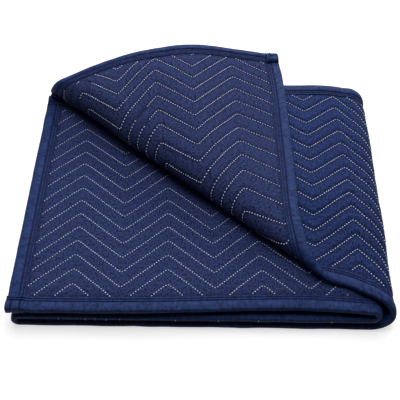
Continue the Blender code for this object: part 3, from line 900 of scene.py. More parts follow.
# ------------------------------------------------------------------ quilting
@dataclass(frozen=True)
class Chevrons:
    """Rows of zigzag stitch lines, as a sheared lattice that is slightly pulled out of true.

    A row and a column step lead from the apex to the other peaks; `drop` is
    the height of a zigzag in rows.  `aside` and `along` say how far the cloth
    has pulled the lines at nine spots, in columns and in rows: for the first,
    the middle and the last column of `within`, each at its first, middle and
    last line.  Outside `within` they stay as at its border.
    """

    apex: tuple[float, float]    # place of the peak that columns and rows are counted from
    half_period: float           # from a peak across to the next trough
    slope: float                 # how far the rows climb for each metre across
    lean: float                  # how far the columns lean aside for each metre back
    spacing: float               # from one stitch line to the next
    rise: float                  # height of a zigzag
    bend_from: float = 0.0       # column from which the rows bend up
    bend: float = 0.0            # rows that they rise in each column from there
    aside: Spots = ((0.0, 0.0, 0.0),) * 3
    along: Spots = ((0.0, 0.0, 0.0),) * 3
    within: tuple[float, float, float, float] = (0.0, 1.0, 0.0, 1.0)   # first, last column, line
    stretched: tuple[float, float, float] = (0.0, 1.0, 0.0)   # leg's start, its run, columns longer
    sharpness: float = 0.995     # 1 is a sharp peak

    @property
    def across(self) -> Array:
        """Step from one column to the next."""
        return np.array((self.half_period, self.slope * self.half_period))

    @property
    def down(self) -> Array:
        """Step from one row to the next."""
        return np.array((self.lean * self.spacing, self.spacing))

    @property
    def drop(self) -> float:
        """Height of a zigzag, in rows."""
        return self.rise / self.spacing

    def fall(self, column: Array) -> Array:
        """Rows that a stitch line is below its even columns.

        A rounded triangle wave, arcsin of k cos(pi c), less the bend.

        Args:
            column: Column number, with fractions.

        Returns:
            Rows.
        """
        k = self.sharpness
        wave = 0.5 - 0.5 * np.arcsin(k * np.cos(math.pi * column)) / math.asin(k)
        return self.drop * wave - self.bend * np.maximum(column - self.bend_from, 0.0)

    def lattice(self, x: Array, y: Array) -> tuple[Array, Array]:
        """Column and row of a place, counted from the apex.

        Args:
            x: Place across.
            y: Place towards the back.

        Returns:
            Column and row, with fractions.
        """
        a, d = self.across, self.down
        dx, dy = x - self.apex[0], y - self.apex[1]
        area = a[0] * d[1] - a[1] * d[0]
        return (dx * d[1] - dy * d[0]) / area, (dy * a[0] - dx * a[1]) / area

    def pulled(self, column: Array, line: Array) -> Array:
        """Rows that a stitch line lies behind its place, n, on the lattice.

        The line falls as one that is `aside` columns away, less its pull
        `along`; a leg that is longer drops on by as much:
        fall(c - aside - longer) + drop longer - along.

        Args:
            column: Column number, with fractions.
            line: Number of the line.

        Returns:
            Rows.
        """
        first, last, top, bottom = self.within
        across = np.clip((column - first) / (last - first), 0.0, 1.0)
        down = np.clip((line - top) / (bottom - top), 0.0, 1.0)
        aside = over_spots(self.aside, across, down)
        along = over_spots(self.along, across, down)
        start, run, amount = self.stretched
        longer = amount * ease((column - start) / run)
        return self.fall(column - aside - longer) + self.drop * longer - along

    def phase(self, x: Array, y: Array) -> Array:
        """Line number along the zigzags, whole on a stitch line, found in three rounds.

        Args:
            x: Place across.
            y: Place towards the back.

        Returns:
            Line number, with fractions between the stitch lines.
        """
        column, row = self.lattice(x, y)
        line = row + self.fall(column)
        for _ in range(3):
            line = row + self.pulled(column, line)
        return line

    def from_stitch(self, x: Array, y: Array) -> Array:
        """Distance to the nearest stitch line: phase divided by its steepness.

        Args:
            x: Place across.
            y: Place towards the back.

        Returns:
            Distance in metres.
        """
        step = 0.0005
        phase = self.phase(x, y)
        gx = (self.phase(x + step, y) - self.phase(x - step, y)) / (2.0 * step)
        gy = (self.phase(x, y + step) - self.phase(x, y - step)) / (2.0 * step)
        return np.abs(phase - np.round(phase)) / np.hypot(gx, gy)

    def line(self, column: Array, row: Array) -> tuple[Array, Array]:
        """Place on a stitch line at a column: apex + columns across + rows down.

        Args:
            column: Column number, with fractions.
            row: Number of the stitch line.

        Returns:
            Place across and towards the back.
        """
        at_row = row - self.pulled(column, row)
        a, d = self.across, self.down
        return (self.apex[0] + column * a[0] + at_row * d[0],
                self.apex[1] + column * a[1] + at_row * d[1])


class Face(Enum):
    """The panel's two faces, by the side of the middle that they are on."""

    FIRST = 1.0
    SECOND = -1.0


@dataclass(frozen=True)
class QuiltedField:
    """One region of the quilting: its pattern, the face it shows on, where, and how deep it is sewn."""

    name: str
    pattern: Chevrons
    face: Face
    plan: Callable[[Array, Array], tuple[Array, Array]]
    shows: Callable[[Array, Array], Array]
    depth: float = 1.0


@dataclass
class QuiltPanel:
    """The quilted panel: one closed sheet with pillows between its stitch lines."""

    stack: FoldedStack
    fields: tuple[QuiltedField, ...]
    edge_half: float = 0.0020    # half the thickness where the tape grips it
    grip_run: float = 0.013      # width over which it swells from there
    sink: float = 0.0019         # how far a stitch line pulls a face down
    groove_width: float = 0.0030
    shade_and_pucker_width: float = 2.2    # the cloth is puckered, and painted in shade, over this many groove widths
    pillow: float = 0.0095       # half the distance between stitch lines
    fold_calm: float = 0.7       # share of the quilting that is pulled flat in the outer fold
    fold_run: float = 0.030      # length over which it is
    puckers: tuple[tuple[float, float], ...] = ((0.00022, 0.011), (0.00018, 0.0065))   # height, size
    pucker_seeds: tuple[int, int] = (11, 17)   # of the first and the second face
    column_step: float = 0.0034
    row_step: float = 0.0034
    coarse_step: float = 0.060   # where the cloth is hidden
    places: dict[Face, Array] = field(default_factory=dict)
    outward: dict[Face, Array] = field(default_factory=dict)

    def stations(self) -> Array:
        """Columns of the net along the panel: fine where it shows, coarse where hidden.

        Returns:
            Station lengths, rising; past the outer fold they are nominal.
        """
        s = self.stack
        runs = (
            # start, end, step
            (0.0, s.upper_end, self.column_step),
            (s.upper_end, s.middle_start, s.small_fold_run / 8),
            (s.middle_start, s.middle_end, self.coarse_step),
            (s.middle_end, s.lower_start, s.small_fold_run / 10),
            (s.lower_start, s.lower_end, self.coarse_step),
            (s.lower_end, s.top_start, self.column_step),
            (s.top_start, s.top_start + s.outer_fold_x, self.column_step),
        )
        parts = [np.linspace(a, b, max(2, round((b - a) / step)), endpoint=False) for a, b, step in runs]
        return np.concatenate((*parts, [s.top_start + s.outer_fold_x]))

    def flat(self, station: Array, share: Array) -> tuple[Array, Array]:
        """Flat point of a station and a share from front to back.

        The top layer's stations are stretched to its curved free edge, and a
        share runs between the front and back edges; three rounds settle both.

        Args:
            station: Nominal length along the panel.
            share: 0 at the front edge, 1 at the back edge.

        Returns:
            u and y.
        """
        s = self.stack
        u = station
        for _ in range(3):
            y = s.front_edge(u) + share * (s.back_edge(u) - s.front_edge(u))
            along = (station - s.top_start) / s.outer_fold_x
            u = np.where(station < s.top_start, station,
                         s.top_start + along * (s.end_edge(y) - s.top_start))
        return u, y

    def on_net(self, u: Array, y: Array) -> tuple[Array, Array]:
        """Row and column of the net at a flat point, with fractions.

        Args:
            u: Length coordinate along the panel.
            y: Coordinate across the panel.

        Returns:
            Row and column.
        """
        s = self.stack
        along = (u - s.top_start) / (s.end_edge(y) - s.top_start)
        station = np.where(u < s.top_start, u, s.top_start + along * s.outer_fold_x)
        columns = self.stations()
        share = (y - s.front_edge(u)) / (s.back_edge(u) - s.front_edge(u))
        return share * (self.rows - 1), np.interp(station, columns, np.arange(len(columns)))

    @property
    def rows(self) -> int:
        """Number of rows of the net."""
        return round(self.stack.depth / self.row_step) + 1

    def groove(self, u: Array, y: Array, face: Face) -> tuple[Array, Array]:
        """Sink of the face and closeness to a stitch line, which paints its shade.

        The sink is a narrow bell on the line plus a wide parabola that crowns
        the pillow between two lines.

        Args:
            u: Length coordinate along the panel.
            y: Coordinate across the panel.
            face: The face asked for.

        Returns:
            Share of the full sink, and closeness from 0 to 1.
        """
        sink = np.zeros_like(u)
        close = np.zeros_like(u)
        for quilted in self.fields:
            if quilted.face is not face:
                continue
            distance = quilted.pattern.from_stitch(*quilted.plan(u, y))
            crown = np.clip(1.0 - distance / self.pillow, 0.0, 1.0) ** 2
            here = quilted.shows(u, y)
            deep = quilted.depth * (0.5 * bell(distance, self.groove_width) + 0.5 * crown)
            near = quilted.depth * bell(distance, self.shade_and_pucker_width * self.groove_width)
            sink = np.where(here, deep, sink)
            close = np.where(here, near, close)
        s = self.stack
        in_fold = ease((s.top_start - u) / self.fold_run) * (u > s.lower_end)
        return sink * (1.0 - self.fold_calm * in_fold), np.clip(close, 0.0, 1.0)

    def rise(self, u: Array, y: Array, face: Face) -> tuple[Array, Array]:
        """Height of a face above the cloth's middle, and its closeness to sewing, which paints shade.

        Args:
            u: Length coordinate along the panel.
            y: Coordinate across the panel.
            face: The face asked for.

        Returns:
            Height in metres along the normal, and closeness from 0 to 1.
        """
        s = self.stack
        sink, close = self.groove(u, y, face)
        seed = self.pucker_seeds[face is Face.SECOND]
        uneven = sum(height * soft_noise(u, y, size, seed + i)
                     for i, (height, size) in enumerate(self.puckers))
        full = s.quilt_half - self.sink * sink + uneven * (0.5 + close)
        swollen = ease((s.margin(u, y) - s.tape_width) / self.grip_run)
        half = self.edge_half + (full - self.edge_half) * swollen
        # by the tape the cloth counts as fully sewn, so it is painted in shade there too
        return half, np.maximum(close, 1.0 - swollen)

    def build(self, first: Any, second: Any) -> Any:
        """Build the panel as two nets, one for each face, joined round the edge.

        Args:
            first: Finish of the first face.
            second: Finish of the second face.

        Returns:
            The finished piece.
        """
        columns = self.stations()
        station, share = np.meshgrid(columns, np.linspace(0.0, 1.0, self.rows))
        u, y = self.flat(station, share)
        points, shade = [], []
        for face in Face:
            half, close = self.rise(u, y, face)
            places = self.stack.lay(u, y, face.value * half)
            self.places[face] = places
            self.outward[face] = self.face_normals(places) * face.value
            points.append(places.reshape(-1, 3))
            shade.append(close.ravel())
        net = net_faces(*u.shape)
        count = u.size
        ring = self.rim(*u.shape)
        after = np.roll(ring, -1)
        walls = np.stack((ring, ring + count, after + count, after), -1)
        faces = np.concatenate((net, net[:, ::-1] + count, walls))
        flat = np.stack((u.ravel(), y.ravel()), -1)
        piece = make_piece("quilt_cloth", np.concatenate(points), faces, np.concatenate((flat, flat)),
                           np.concatenate(shade))
        piece.data.materials.append(first)
        piece.data.materials.append(second)
        on_second = np.arange(len(faces)) >= len(net)
        piece.data.polygons.foreach_set("material_index", on_second.astype(np.int32))
        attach(piece, BODY)
        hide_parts("quilt_panel")
        return piece

    @staticmethod
    def rim(rows: int, columns: int) -> Array:
        """Points round the edge of a net, in order, each once.

        Args:
            rows: Number of rows of the net.
            columns: Number of its columns.

        Returns:
            Point numbers, against the net's own turning.
        """
        numbers = np.arange(rows * columns).reshape(rows, columns)
        around = (numbers[0, :-1], numbers[:-1, -1], numbers[-1, :0:-1], numbers[:0:-1, 0])
        return np.concatenate(around)

    @staticmethod
    def face_normals(places: Array) -> Array:
        """Unit normals of a net of places: cross product of its two slopes.

        Args:
            places: Rows by columns of places, with a last axis of 3.

        Returns:
            Unit vectors in the same order.
        """
        along = np.gradient(places, axis=1)
        across = np.gradient(places, axis=0)
        out = np.cross(along, across)
        return out / np.linalg.norm(out, axis=-1, keepdims=True)

    def on_face(self, u: Array, y: Array, face: Face) -> tuple[Array, Array]:
        """Place on the finished face at a flat point, and the normal there.

        Args:
            u: Length coordinate along the panel.
            y: Coordinate across the panel.
            face: The face asked for.

        Returns:
            Places and outward normals.
        """
        row, column = self.on_net(u, y)
        places = read_net(self.places[face], row, column)
        out = read_net(self.outward[face], row, column)
        return places, out / np.linalg.norm(out, axis=-1, keepdims=True)


# -------------------------------------------------------------------- sewing
def stitch_shape() -> tuple[Array, Array]:
    """One stitch: a spindle of two rings of four points between two tips.

    Returns:
        Points as (share along, share across, share up), and its triangles.
    """
    ring = ((-0.5, 0.35), (0.0, 1.0), (0.5, 0.35), (0.0, -0.6))
    points = [(-0.5, 0.0, -0.5)]
    for along in (-0.36, 0.36):
        points += [(along, across, up) for across, up in ring]
    points.append((0.5, 0.0, -0.5))
    faces = []
    for i in range(4):
        a, b = 1 + i, 1 + (i + 1) % 4
        c, d = a + 4, b + 4
        faces += [(0, b, a), (a, b, d), (a, d, c), (c, d, 9)]
    return np.array(points), np.array(faces)


def sew(name: str, start: Array, end: Array, normal: Array, width: float, height: float,
        material: Any, slot: Finish) -> Any:
    """Make many stitches as one piece.

    Every point of the stitch shape is start + along (end - start) + across
    width side + up height normal, where side is square to the other two.

    Args:
        name: Name of the piece.
        start: Where each stitch comes out of the cloth.
        end: Where it goes back in.
        normal: The cloth's outward normal there.
        width: Thickness of the thread as it shows.
        height: How far a stitch stands up.
        material: Finish of the thread.
        slot: Not used.

    Returns:
        The finished piece.
    """
    shape, triangles = stitch_shape()
    run = end - start
    side = np.cross(normal, run)
    side /= np.linalg.norm(side, axis=-1, keepdims=True)
    middle = 0.5 * (start + end)
    points = (middle[:, None] + shape[None, :, :1] * run[:, None]
              + shape[None, :, 1:2] * width * side[:, None]
              + shape[None, :, 2:] * height * normal[:, None])
    faces = triangles[None] + (np.arange(len(start)) * len(shape))[:, None, None]
    flat = np.repeat(start[:, None, :2], len(shape), 1).reshape(-1, 2)
    piece = make_piece(name, points.reshape(-1, 3), faces.reshape(-1, 3), flat)
    piece.data.materials.append(material)
    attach(piece, BODY)
    return piece


@dataclass
class Quilting:
    """The light thread that quilts the panel, one piece for each field."""

    panel: QuiltPanel
    pitch: float = 0.0040        # from stitch to stitch
    gap: float = 0.0019          # where the thread is inside the cloth
    width: float = 0.0014        # real thread is 0.6 mm, drawn wider so that it shows
    height: float = 0.0009
    clear: float = 0.0012        # the sewing stops this far from the tape
    sunk_from: float = 0.75      # share of a trough's depth past which the thread is out of sight
    columns: int = 12            # walked to each side of the apex
    rows: int = 30
    points: int = 40             # of a stitch line in each column

    def build(self, material: Any) -> list[Any]:
        """Sew every field along its stitch lines.

        Args:
            material: Finish of the thread.

        Returns:
            The finished pieces.
        """
        pieces = []
        for quilted in self.panel.fields:
            start, end, normal = self.stitches(quilted)
            pieces.append(sew("quilting_thread_" + quilted.name, start, end, normal,
                              self.width, self.height, material, Finish.CLOTH))
            LOG.info("%s: %d stitches", pieces[-1].name, len(start))
        return pieces

    def stitches(self, quilted: QuiltedField) -> tuple[Array, Array, Array]:
        """Ends and normals of a field's stitches.

        Every stitch line is walked in even steps of one pitch along the cloth;
        a stitch stays where its field shows, clear of the tape.

        Args:
            quilted: The field to sew.

        Returns:
            Starts, ends and normals.
        """
        pattern = quilted.pattern
        stack = self.panel.stack
        fine = np.linspace(-self.columns, self.columns, 2 * self.columns * self.points + 1)
        lines = []
        for row in range(-self.rows, self.rows + 1):
            x, y = pattern.line(fine, np.full_like(fine, row))
            length = np.concatenate(([0.0], np.cumsum(np.hypot(np.diff(x), np.diff(y)))))
            middle = np.arange(0.5 * self.pitch, length[-1], self.pitch)
            half = 0.5 * (self.pitch - self.gap)
            tips = [np.interp(middle + side, length, fine) for side in (-half, half)]
            lines.append(np.stack((*tips, np.full_like(middle, row))))
        first, last, row = np.concatenate(lines, 1)
        ends = []
        keep = np.ones(row.size, dtype=bool)
        for column in (first, last):
            x, y = pattern.line(column, row)
            u, v = self.to_flat(quilted, x, y)
            ends.append((u, v))
            keep &= quilted.shows(u, v)
            if quilted.face is Face.FIRST:
                keep &= stack.creased(u, v) < self.sunk_from
            keep &= stack.margin(u, v) > stack.tape_width + self.clear
        laid = [self.panel.on_face(u[keep], v[keep], quilted.face) for u, v in ends]
        normal = laid[0][1] + laid[1][1]
        normal /= np.linalg.norm(normal, axis=-1, keepdims=True)
        return laid[0][0], laid[1][0], normal

    def to_flat(self, quilted: QuiltedField, x: Array, y: Array) -> tuple[Array, Array]:
        """Undo a field's plan, which shifts, mirrors or leaves the coordinates.

        So the plan of three corners gives its matrix, whose inverse leads back.

        Args:
            quilted: The field whose plan is undone.
            x: Place across.
            y: Place towards the back.

        Returns:
            u and y.
        """
        corner = np.array([[1.0, 0.0], [2.0, 0.0], [1.0, 1.0]])
        px, py = quilted.plan(corner[:, 0], corner[:, 1])
        origin = np.array((px[0], py[0]))
        matrix = np.array(((px[1] - px[0], px[2] - px[0]), (py[1] - py[0], py[2] - py[0])))
        back = np.linalg.inv(matrix) @ (np.stack((x, y)) - origin[:, None])
        return corner[0, 0] + back[0], corner[0, 1] + back[1]


# ------------------------------------------------------------------- binding
class Edge(Enum):
    """The panel's four bound edges."""

    FRONT = "front"
    BACK = "back"
    INNER_END = "end_inner"
    TOP_END = "end_top"


@dataclass
class Binding:
    """A folded tape sewn on one edge of the panel by lines of stitches."""

    stack: FoldedStack
    edge: Edge
    lap: float = 0.0036          # outer rise of the tape above the cloth's middle
    fullness: float = 0.0012     # how much the tape bulges between fold and sewing
    flatness: float = 0.8        # power that flattens the bulge; 1 is a plain sine
    thickness: float = 0.0008
    lip: float = 0.0005          # how far its inner border turns down
    lip_run: float = 0.0016
    fold_inset: float = 0.0006   # the fold starts this far in from the panel's edge
    fold_reach: float = 0.0021   # and reaches this far past its start
    seams: tuple[float, ...] = (0.0172, 0.0132)   # distances in from the edge
    seam_depth: float = 0.0013
    seam_width: float = 0.0011
    tuck: float = 0.0160         # an end tape stops this far from the panel's corner
    overlap_rise: float = 0.0026  # a long tape's end is lifted by this over the end tape
    overlap_run: float = 0.0205
    overlap_edge: float = 0.003  # the lift fades over this length
    ripple: tuple[float, float] = (0.00026, 0.011)   # height and size of its small ripples
    sway: tuple[float, float] = (0.00030, 0.034)     # and of its slow waves along the edge
    wobble: tuple[float, float] = (0.0004, 0.021)    # and of the folded edge's unevenness
    wobble_fade: float = 0.006   # how far in from the edge that is gone
    seed: int = 23
    station_step: float = 0.0036
    fine_start: float = 0.024    # its first stretch, where its stations are closest
    fine_end: float = 0.026      # and its last
    lap_points: int = 27
    fold_points: int = 7

    @property
    def is_long(self) -> bool:
        """Whether the tape runs along the panel, not across its end."""
        return self.edge in (Edge.FRONT, Edge.BACK)

    def place(self, station: Array, inward: Array) -> tuple[Array, Array]:
        """Flat point at a station of the edge and a distance in from it.

        Args:
            station: Place along the edge.
            inward: Distance in from the edge; less than 0 is past it.

        Returns:
            u and y.
        """
        s = self.stack
        if self.edge is Edge.FRONT:
            return station, s.front_edge(station) + inward * s.front_stretch(station)
        if self.edge is Edge.BACK:
            return station, s.back_edge(station) - inward
        if self.edge is Edge.INNER_END:
            return inward, station
        return s.end_edge(station) - inward, station

    def span(self) -> tuple[float, float]:
        """Where the tape starts and ends.

        Returns:
            First and last station.
        """
        s = self.stack
        if self.edge is Edge.INNER_END:
            return self.tuck, s.depth - self.tuck
        if self.edge is Edge.TOP_END:
            return s.top_front[0][1] + self.tuck, s.top_back - self.tuck
        if self.edge is Edge.FRONT:
            return 0.0, float(s.end_edge(np.array(s.top_front[0][1])))
        return 0.0, float(s.end_edge(np.array(s.top_back)))

    def stations(self) -> Array:
        """Stations along the edge, closer where the tape bends.

        Returns:
            Station lengths, rising.
        """
        s = self.stack
        first, last = self.span()
        if not self.is_long:
            return np.linspace(first, last, round((last - first) / self.station_step * 1.5))
        step = self.station_step
        ends = (first, self.fine_start, s.upper_end, s.middle_start, s.middle_end, s.lower_start,
                s.lower_end, s.top_start, last - self.fine_end, last)
        # overlap, upper layer, fold, middle layer, fold, lower layer, outer fold, top layer, overlap
        steps = (0.0011, step, 0.0016, 2.0 * step, 0.0016, 2.0 * step, 0.0025, 0.7 * step, 0.0008)
        parts = [np.linspace(a, b, round((b - a) / size), endpoint=False)
                 for a, b, size in zip(ends, ends[1:], steps)]
        return np.concatenate((*parts, [last]))

    def profile(self, inward: Array) -> tuple[Array, Array]:
        """Outer rise of a lap by distance in from the edge, and its sewn grooves.

        The rise is level, with a sine bulge between fold and sewing and a bell
        shaped groove on each seam.

        Args:
            inward: Distance in from the edge.

        Returns:
            Rise above the cloth's middle, and closeness to a seam.
        """
        arch = np.sin(math.pi * np.clip(inward / self.seams[-1], 0.0, 1.0)) ** self.flatness
        grooves = sum(bell(inward - seam, self.seam_width) for seam in self.seams)
        lip = self.lip * (1.0 - ease((self.stack.tape_width - inward) / self.lip_run))
        return self.lap + self.fullness * arch - self.seam_depth * grooves - lip, grooves

    def section(self) -> tuple[Array, Array, Array]:
        """Closed section: out along one lap, round the fold, back along the other, then inside.

        Returns:
            Distance in from the edge, rise, and closeness to a seam.
        """
        inward = np.linspace(self.stack.tape_width, self.fold_inset, self.lap_points)
        rise, grooves = self.profile(inward)
        angle = np.linspace(0.5 * math.pi, -0.5 * math.pi, self.fold_points + 2)[1:-1]
        out_in = np.concatenate((inward, self.fold_inset - self.fold_reach * np.cos(angle), inward[::-1]))
        out_up = np.concatenate((rise, rise[-1] * np.sin(angle), -rise[::-1]))
        close = np.concatenate((grooves, np.zeros(len(angle)), grooves[::-1]))
        shrink = 1.0 - self.thickness / self.fold_reach
        past = self.fold_inset - out_in
        in_in = np.where(past > 0.0, self.fold_inset - past * shrink, out_in)
        in_up = np.sign(out_up) * np.maximum(np.abs(out_up) - self.thickness, 0.0)
        return (np.concatenate((out_in, in_in[::-1])), np.concatenate((out_up, in_up[::-1])),
                np.concatenate((close, 0.0 * close)))

    def extra_rise(self, station: Array, inward: Array) -> Array:
        """Small waves of the tape, and the lift of a long tape's ends over the end tapes.

        Args:
            station: Place along the edge.
            inward: Distance in from the edge.

        Returns:
            Extra rise away from the cloth.
        """
        seed = self.seed + list(Edge).index(self.edge)
        rise = self.ripple[0] * soft_noise(station, inward, self.ripple[1], seed)
        rise += self.sway[0] * soft_noise(station, 0.0 * inward, self.sway[1], seed + 7)
        if self.is_long:
            first, last = self.span()
            from_end = np.minimum(station - first, last - station)
            rise += self.overlap_rise * (1.0 - ease((from_end - self.overlap_run) / self.overlap_edge))
        return rise

    def drawn_in(self, station: Array, inward: Array) -> Array:
        """How far the folded edge is drawn in: a slow unevenness that fades inwards.

        Args:
            station: Place along the edge.
            inward: Distance in from the edge.

        Returns:
            Distance to add to `inward`.
        """
        uneven = self.wobble[0] * soft_noise(station, 0.0 * station, self.wobble[1], self.seed + 18)
        return uneven * (1.0 - ease(inward / self.wobble_fade))

    def sewn(self, station: Array, close: Array) -> Array:
        """Closeness of the tape's points to sewing, which paints their seam shade.

        Args:
            station: Places along the edge, section by station.
            close: Closeness of the section's points to a seam.

        Returns:
            Closeness of each point, 0 to 1.
        """
        return np.clip(close[:, None] + 0.0 * station, 0.0, 1.0)

    def lay(self, station: Array, inward: Array, rise: Array) -> Array:
        """Lay points of the tape into the folds, with its waves and overlaps.

        Args:
            station: Place along the edge.
            inward: Distance in from the edge.
            rise: Height above the cloth's middle, less than 0 on the second face.

        Returns:
            Places in the frame, with a last axis of 3.
        """
        lift = self.extra_rise(station, inward) * np.clip(rise / self.lap, -1.0, 1.0)
        u, y = self.place(station, inward)
        return self.stack.lay(u, y, rise + lift)

    def build(self, material: Any) -> Any:
        """Carry the section along the edge and close it at both ends.

        Args:
            material: Finish of the tape.

        Returns:
            The finished piece.
        """
        inward, rise, close = self.section()
        station, across = np.meshgrid(self.stations(), inward)
        rows, columns = station.shape
        across = across + self.drawn_in(station, across)
        points = self.lay(station, across, np.broadcast_to(rise[:, None], station.shape))
        k = np.arange(rows // 2 - 1)
        cap = np.stack((k, k + 1, rows - 2 - k, rows - 1 - k), -1) * columns
        faces = np.concatenate((net_faces(rows, columns, wrap_rows=True), cap, cap[:, ::-1] + columns - 1))
        if self.edge in (Edge.FRONT, Edge.INNER_END):
            faces = faces[:, ::-1]
        spread = np.cumsum(np.hypot(np.gradient(inward), np.gradient(rise)))
        flat = np.stack((station.ravel(), np.repeat(spread, columns)), -1)
        piece = make_piece("tape_" + self.edge.value, points.reshape(-1, 3), faces, flat,
                           self.sewn(station, close).ravel())
        piece.data.materials.append(material)
        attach(piece, BODY)
        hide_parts("binding_" + self.edge.value)
        return piece

    def on_lap(self, station: Array, inward: Array, face: Face) -> tuple[Array, Array]:
        """Place on the outside of a lap and the outward normal there.

        Args:
            station: Place along the edge.
            inward: Distance in from the edge.
            face: The lap asked for.

        Returns:
            Places and normals.
        """
        rise = self.profile(inward)[0] * face.value
        normal = self.stack.normal(*self.place(station, inward)) * face.value
        return self.lay(station, inward, rise), normal


@dataclass
class FrontBinding(Binding):
    """The front edge's tape, which ends in a crumpled lump at the flap's outer corner.

    It runs a little past the panel's ends, and two seams cross it near its
    start and one before the lump.
    """

    past_end: float = 0.0015     # it runs this far past the panel's ends
    start_seams: tuple[tuple[float, float], ...] = ((0.0055, 0.0012), (0.0165, 0.0013))  # place, width
    last_seam: tuple[float, float] = (0.0225, 0.0016)   # back from its far end, and width
    cross_depth: float = 0.0014  # of these seams
    lump_rise: float = 0.0035
    lump_share: tuple[float, float] = (0.75, 0.3)   # of the overlap: the lump's length, and its fade
    lump_round: float = 0.35     # share of the overlap over which its end is rounded off
    crumple: tuple[float, float] = (0.5, 0.005)     # share and size of its unevenness
    corner: float = 0.0075       # radius of its outer corner, seen from above
    corner_fade: float = 0.015   # how far in from the edge that is gone
    taper: float = 0.006         # its outer part thins out over this length
    outer_part: tuple[float, float] = (0.009, 0.005)   # how far in that part goes, and its fade

    def span(self) -> tuple[float, float]:
        """Where the tape starts and ends, a little past the panel.

        Returns:
            First and last station.
        """
        first, last = super().span()
        return first - self.past_end, last + self.past_end

    def end_seams(self, station: Array) -> Array:
        """Closeness to the seams that cross the tape near its ends.

        Args:
            station: Place along the edge.

        Returns:
            A bell on each seam, 0 to 1.
        """
        place, width = self.last_seam
        near_start = sum(bell(station - at, wide) for at, wide in self.start_seams)
        return near_start + bell(self.span()[1] - station - place, width)

    def crumpled(self, station: Array) -> Array:
        """Closeness to the lump at the far end.

        Args:
            station: Place along the edge.

        Returns:
            1 on the lump, which fades to 0.
        """
        start, fade = self.lump_share
        return 1.0 - ease(((self.span()[1] - station) / self.overlap_run - start) / fade)

    def extra_rise(self, station: Array, inward: Array) -> Array:
        """Adds the lump: puffed, crumpled, its seams filled and its outer part thinned.

        Args:
            station: Place along the edge.
            inward: Distance in from the edge.

        Returns:
            Extra rise away from the cloth.
        """
        to_end = self.span()[1] - station
        lump = self.crumpled(station)
        puff = ease(to_end / (self.lump_round * self.overlap_run)) * lump
        uneven = 1.0 + self.crumple[0] * soft_noise(station, inward, self.crumple[1], self.seed + 38)
        outer = 1.0 - ease((inward - self.outer_part[0]) / self.outer_part[1])
        rise = super().extra_rise(station, inward)
        rise += self.lump_rise * puff * uneven + self.seam_depth * self.profile(inward)[1] * lump
        rise -= self.overlap_rise * (1.0 - ease(to_end / self.taper)) * outer
        return rise - self.cross_depth * self.end_seams(station)

    def drawn_in(self, station: Array, inward: Array) -> Array:
        """Adds the lump's rounded corner, a quarter circle in plan.

        Args:
            station: Place along the edge.
            inward: Distance in from the edge.

        Returns:
            Distance to add to `inward`.
        """
        nearness = np.clip(1.0 - (self.span()[1] - station) / self.corner, 0.0, 1.0)
        rounded = self.corner * (1.0 - np.sqrt(1.0 - nearness ** 2))
        return super().drawn_in(station, inward) + rounded * (1.0 - ease(inward / self.corner_fade))

    def sewn(self, station: Array, close: Array) -> Array:
        """Closeness to sewing, as painted seam shade: the seams sink out of sight in the lump, and others
        cross.

        Args:
            station: Places along the edge, section by station.
            close: Closeness of the section's points to a seam.

        Returns:
            Closeness of each point, 0 to 1.
        """
        along = close[:, None] * (1.0 - self.crumpled(station))
        return np.clip(along + self.end_seams(station), 0.0, 1.0)


@dataclass
class TapeSewing:
    """The navy thread that sews the tapes on, along their seams and crossed at the ends."""

    bindings: dict[Edge, Binding]
    pitch: float = 0.0036
    gap: float = 0.0011
    width: float = 0.0009
    height: float = 0.0005
    box: tuple[float, float] = (0.0030, 0.0165)   # least and most that a cross is in from end and edge
    lump: float = 0.022          # the front tape's seams stop this far from its crumpled end

    def seam_runs(self) -> list[tuple[Edge, Face, float, float]]:
        """Where the seams show.

        Returns:
            Edge, face, and first and last station of each run.
        """
        runs = []
        for edge, binding in self.bindings.items():
            s = binding.stack
            first, last = binding.span()
            if not binding.is_long:
                runs += [(edge, face, first, last) for face in Face
                         if edge is Edge.TOP_END or face is Face.FIRST]
                continue
            runs += [(edge, Face.FIRST, 0.0, s.upper_end)]
            short = self.lump if edge is Edge.FRONT else 0.0
            runs += [(edge, face, s.lower_end, last - short) for face in Face]
        return runs

    def crosses(self) -> list[tuple[Edge, Face, float, float]]:
        """Where a long tape's end is sewn down by a cross.

        Returns:
            Edge, face, station of the end and direction away from it.
        """
        runs = []
        for edge in (Edge.FRONT, Edge.BACK):
            _, last = self.bindings[edge].span()
            runs += [(edge, Face.FIRST, 0.0, 1.0)]
            runs += [(edge, face, last, -1.0) for face in Face if edge is Edge.BACK]
        return runs

    def build(self, material: Any) -> Any:
        """Sew every seam and cross as one piece.

        Args:
            material: Finish of the thread.

        Returns:
            The finished piece.
        """
        lines = []
        for edge, face, first, last in self.seam_runs():
            for seam in self.bindings[edge].seams:
                lines.append((edge, face, (first, seam), (last, seam)))
        low, high = self.box
        corners = (((low, low), (high, high)), ((low, high), (high, low)), ((high, low), (high, high)))
        for edge, face, end, way in self.crosses():
            for (a, b), (c, d) in corners:
                lines.append((edge, face, (end + way * a, b), (end + way * c, d)))
        starts, ends, normals = [], [], []
        for edge, face, first, last in lines:
            length = math.dist(first, last)
            count = max(2, round(length / self.pitch))
            middle = (np.arange(count) + 0.5) / count
            half = 0.5 * (1.0 - self.gap / self.pitch) / count
            tips = []
            for side in (-half, half):
                share = middle + side
                station = first[0] + (last[0] - first[0]) * share
                inward = first[1] + (last[1] - first[1]) * share
                tips.append(self.bindings[edge].on_lap(station, inward, face))
            starts.append(tips[0][0])
            ends.append(tips[1][0])
            normals.append(tips[0][1])
        return sew("binding_thread", np.concatenate(starts), np.concatenate(ends),
                   np.concatenate(normals), self.width, self.height, material, Finish.TAPE)


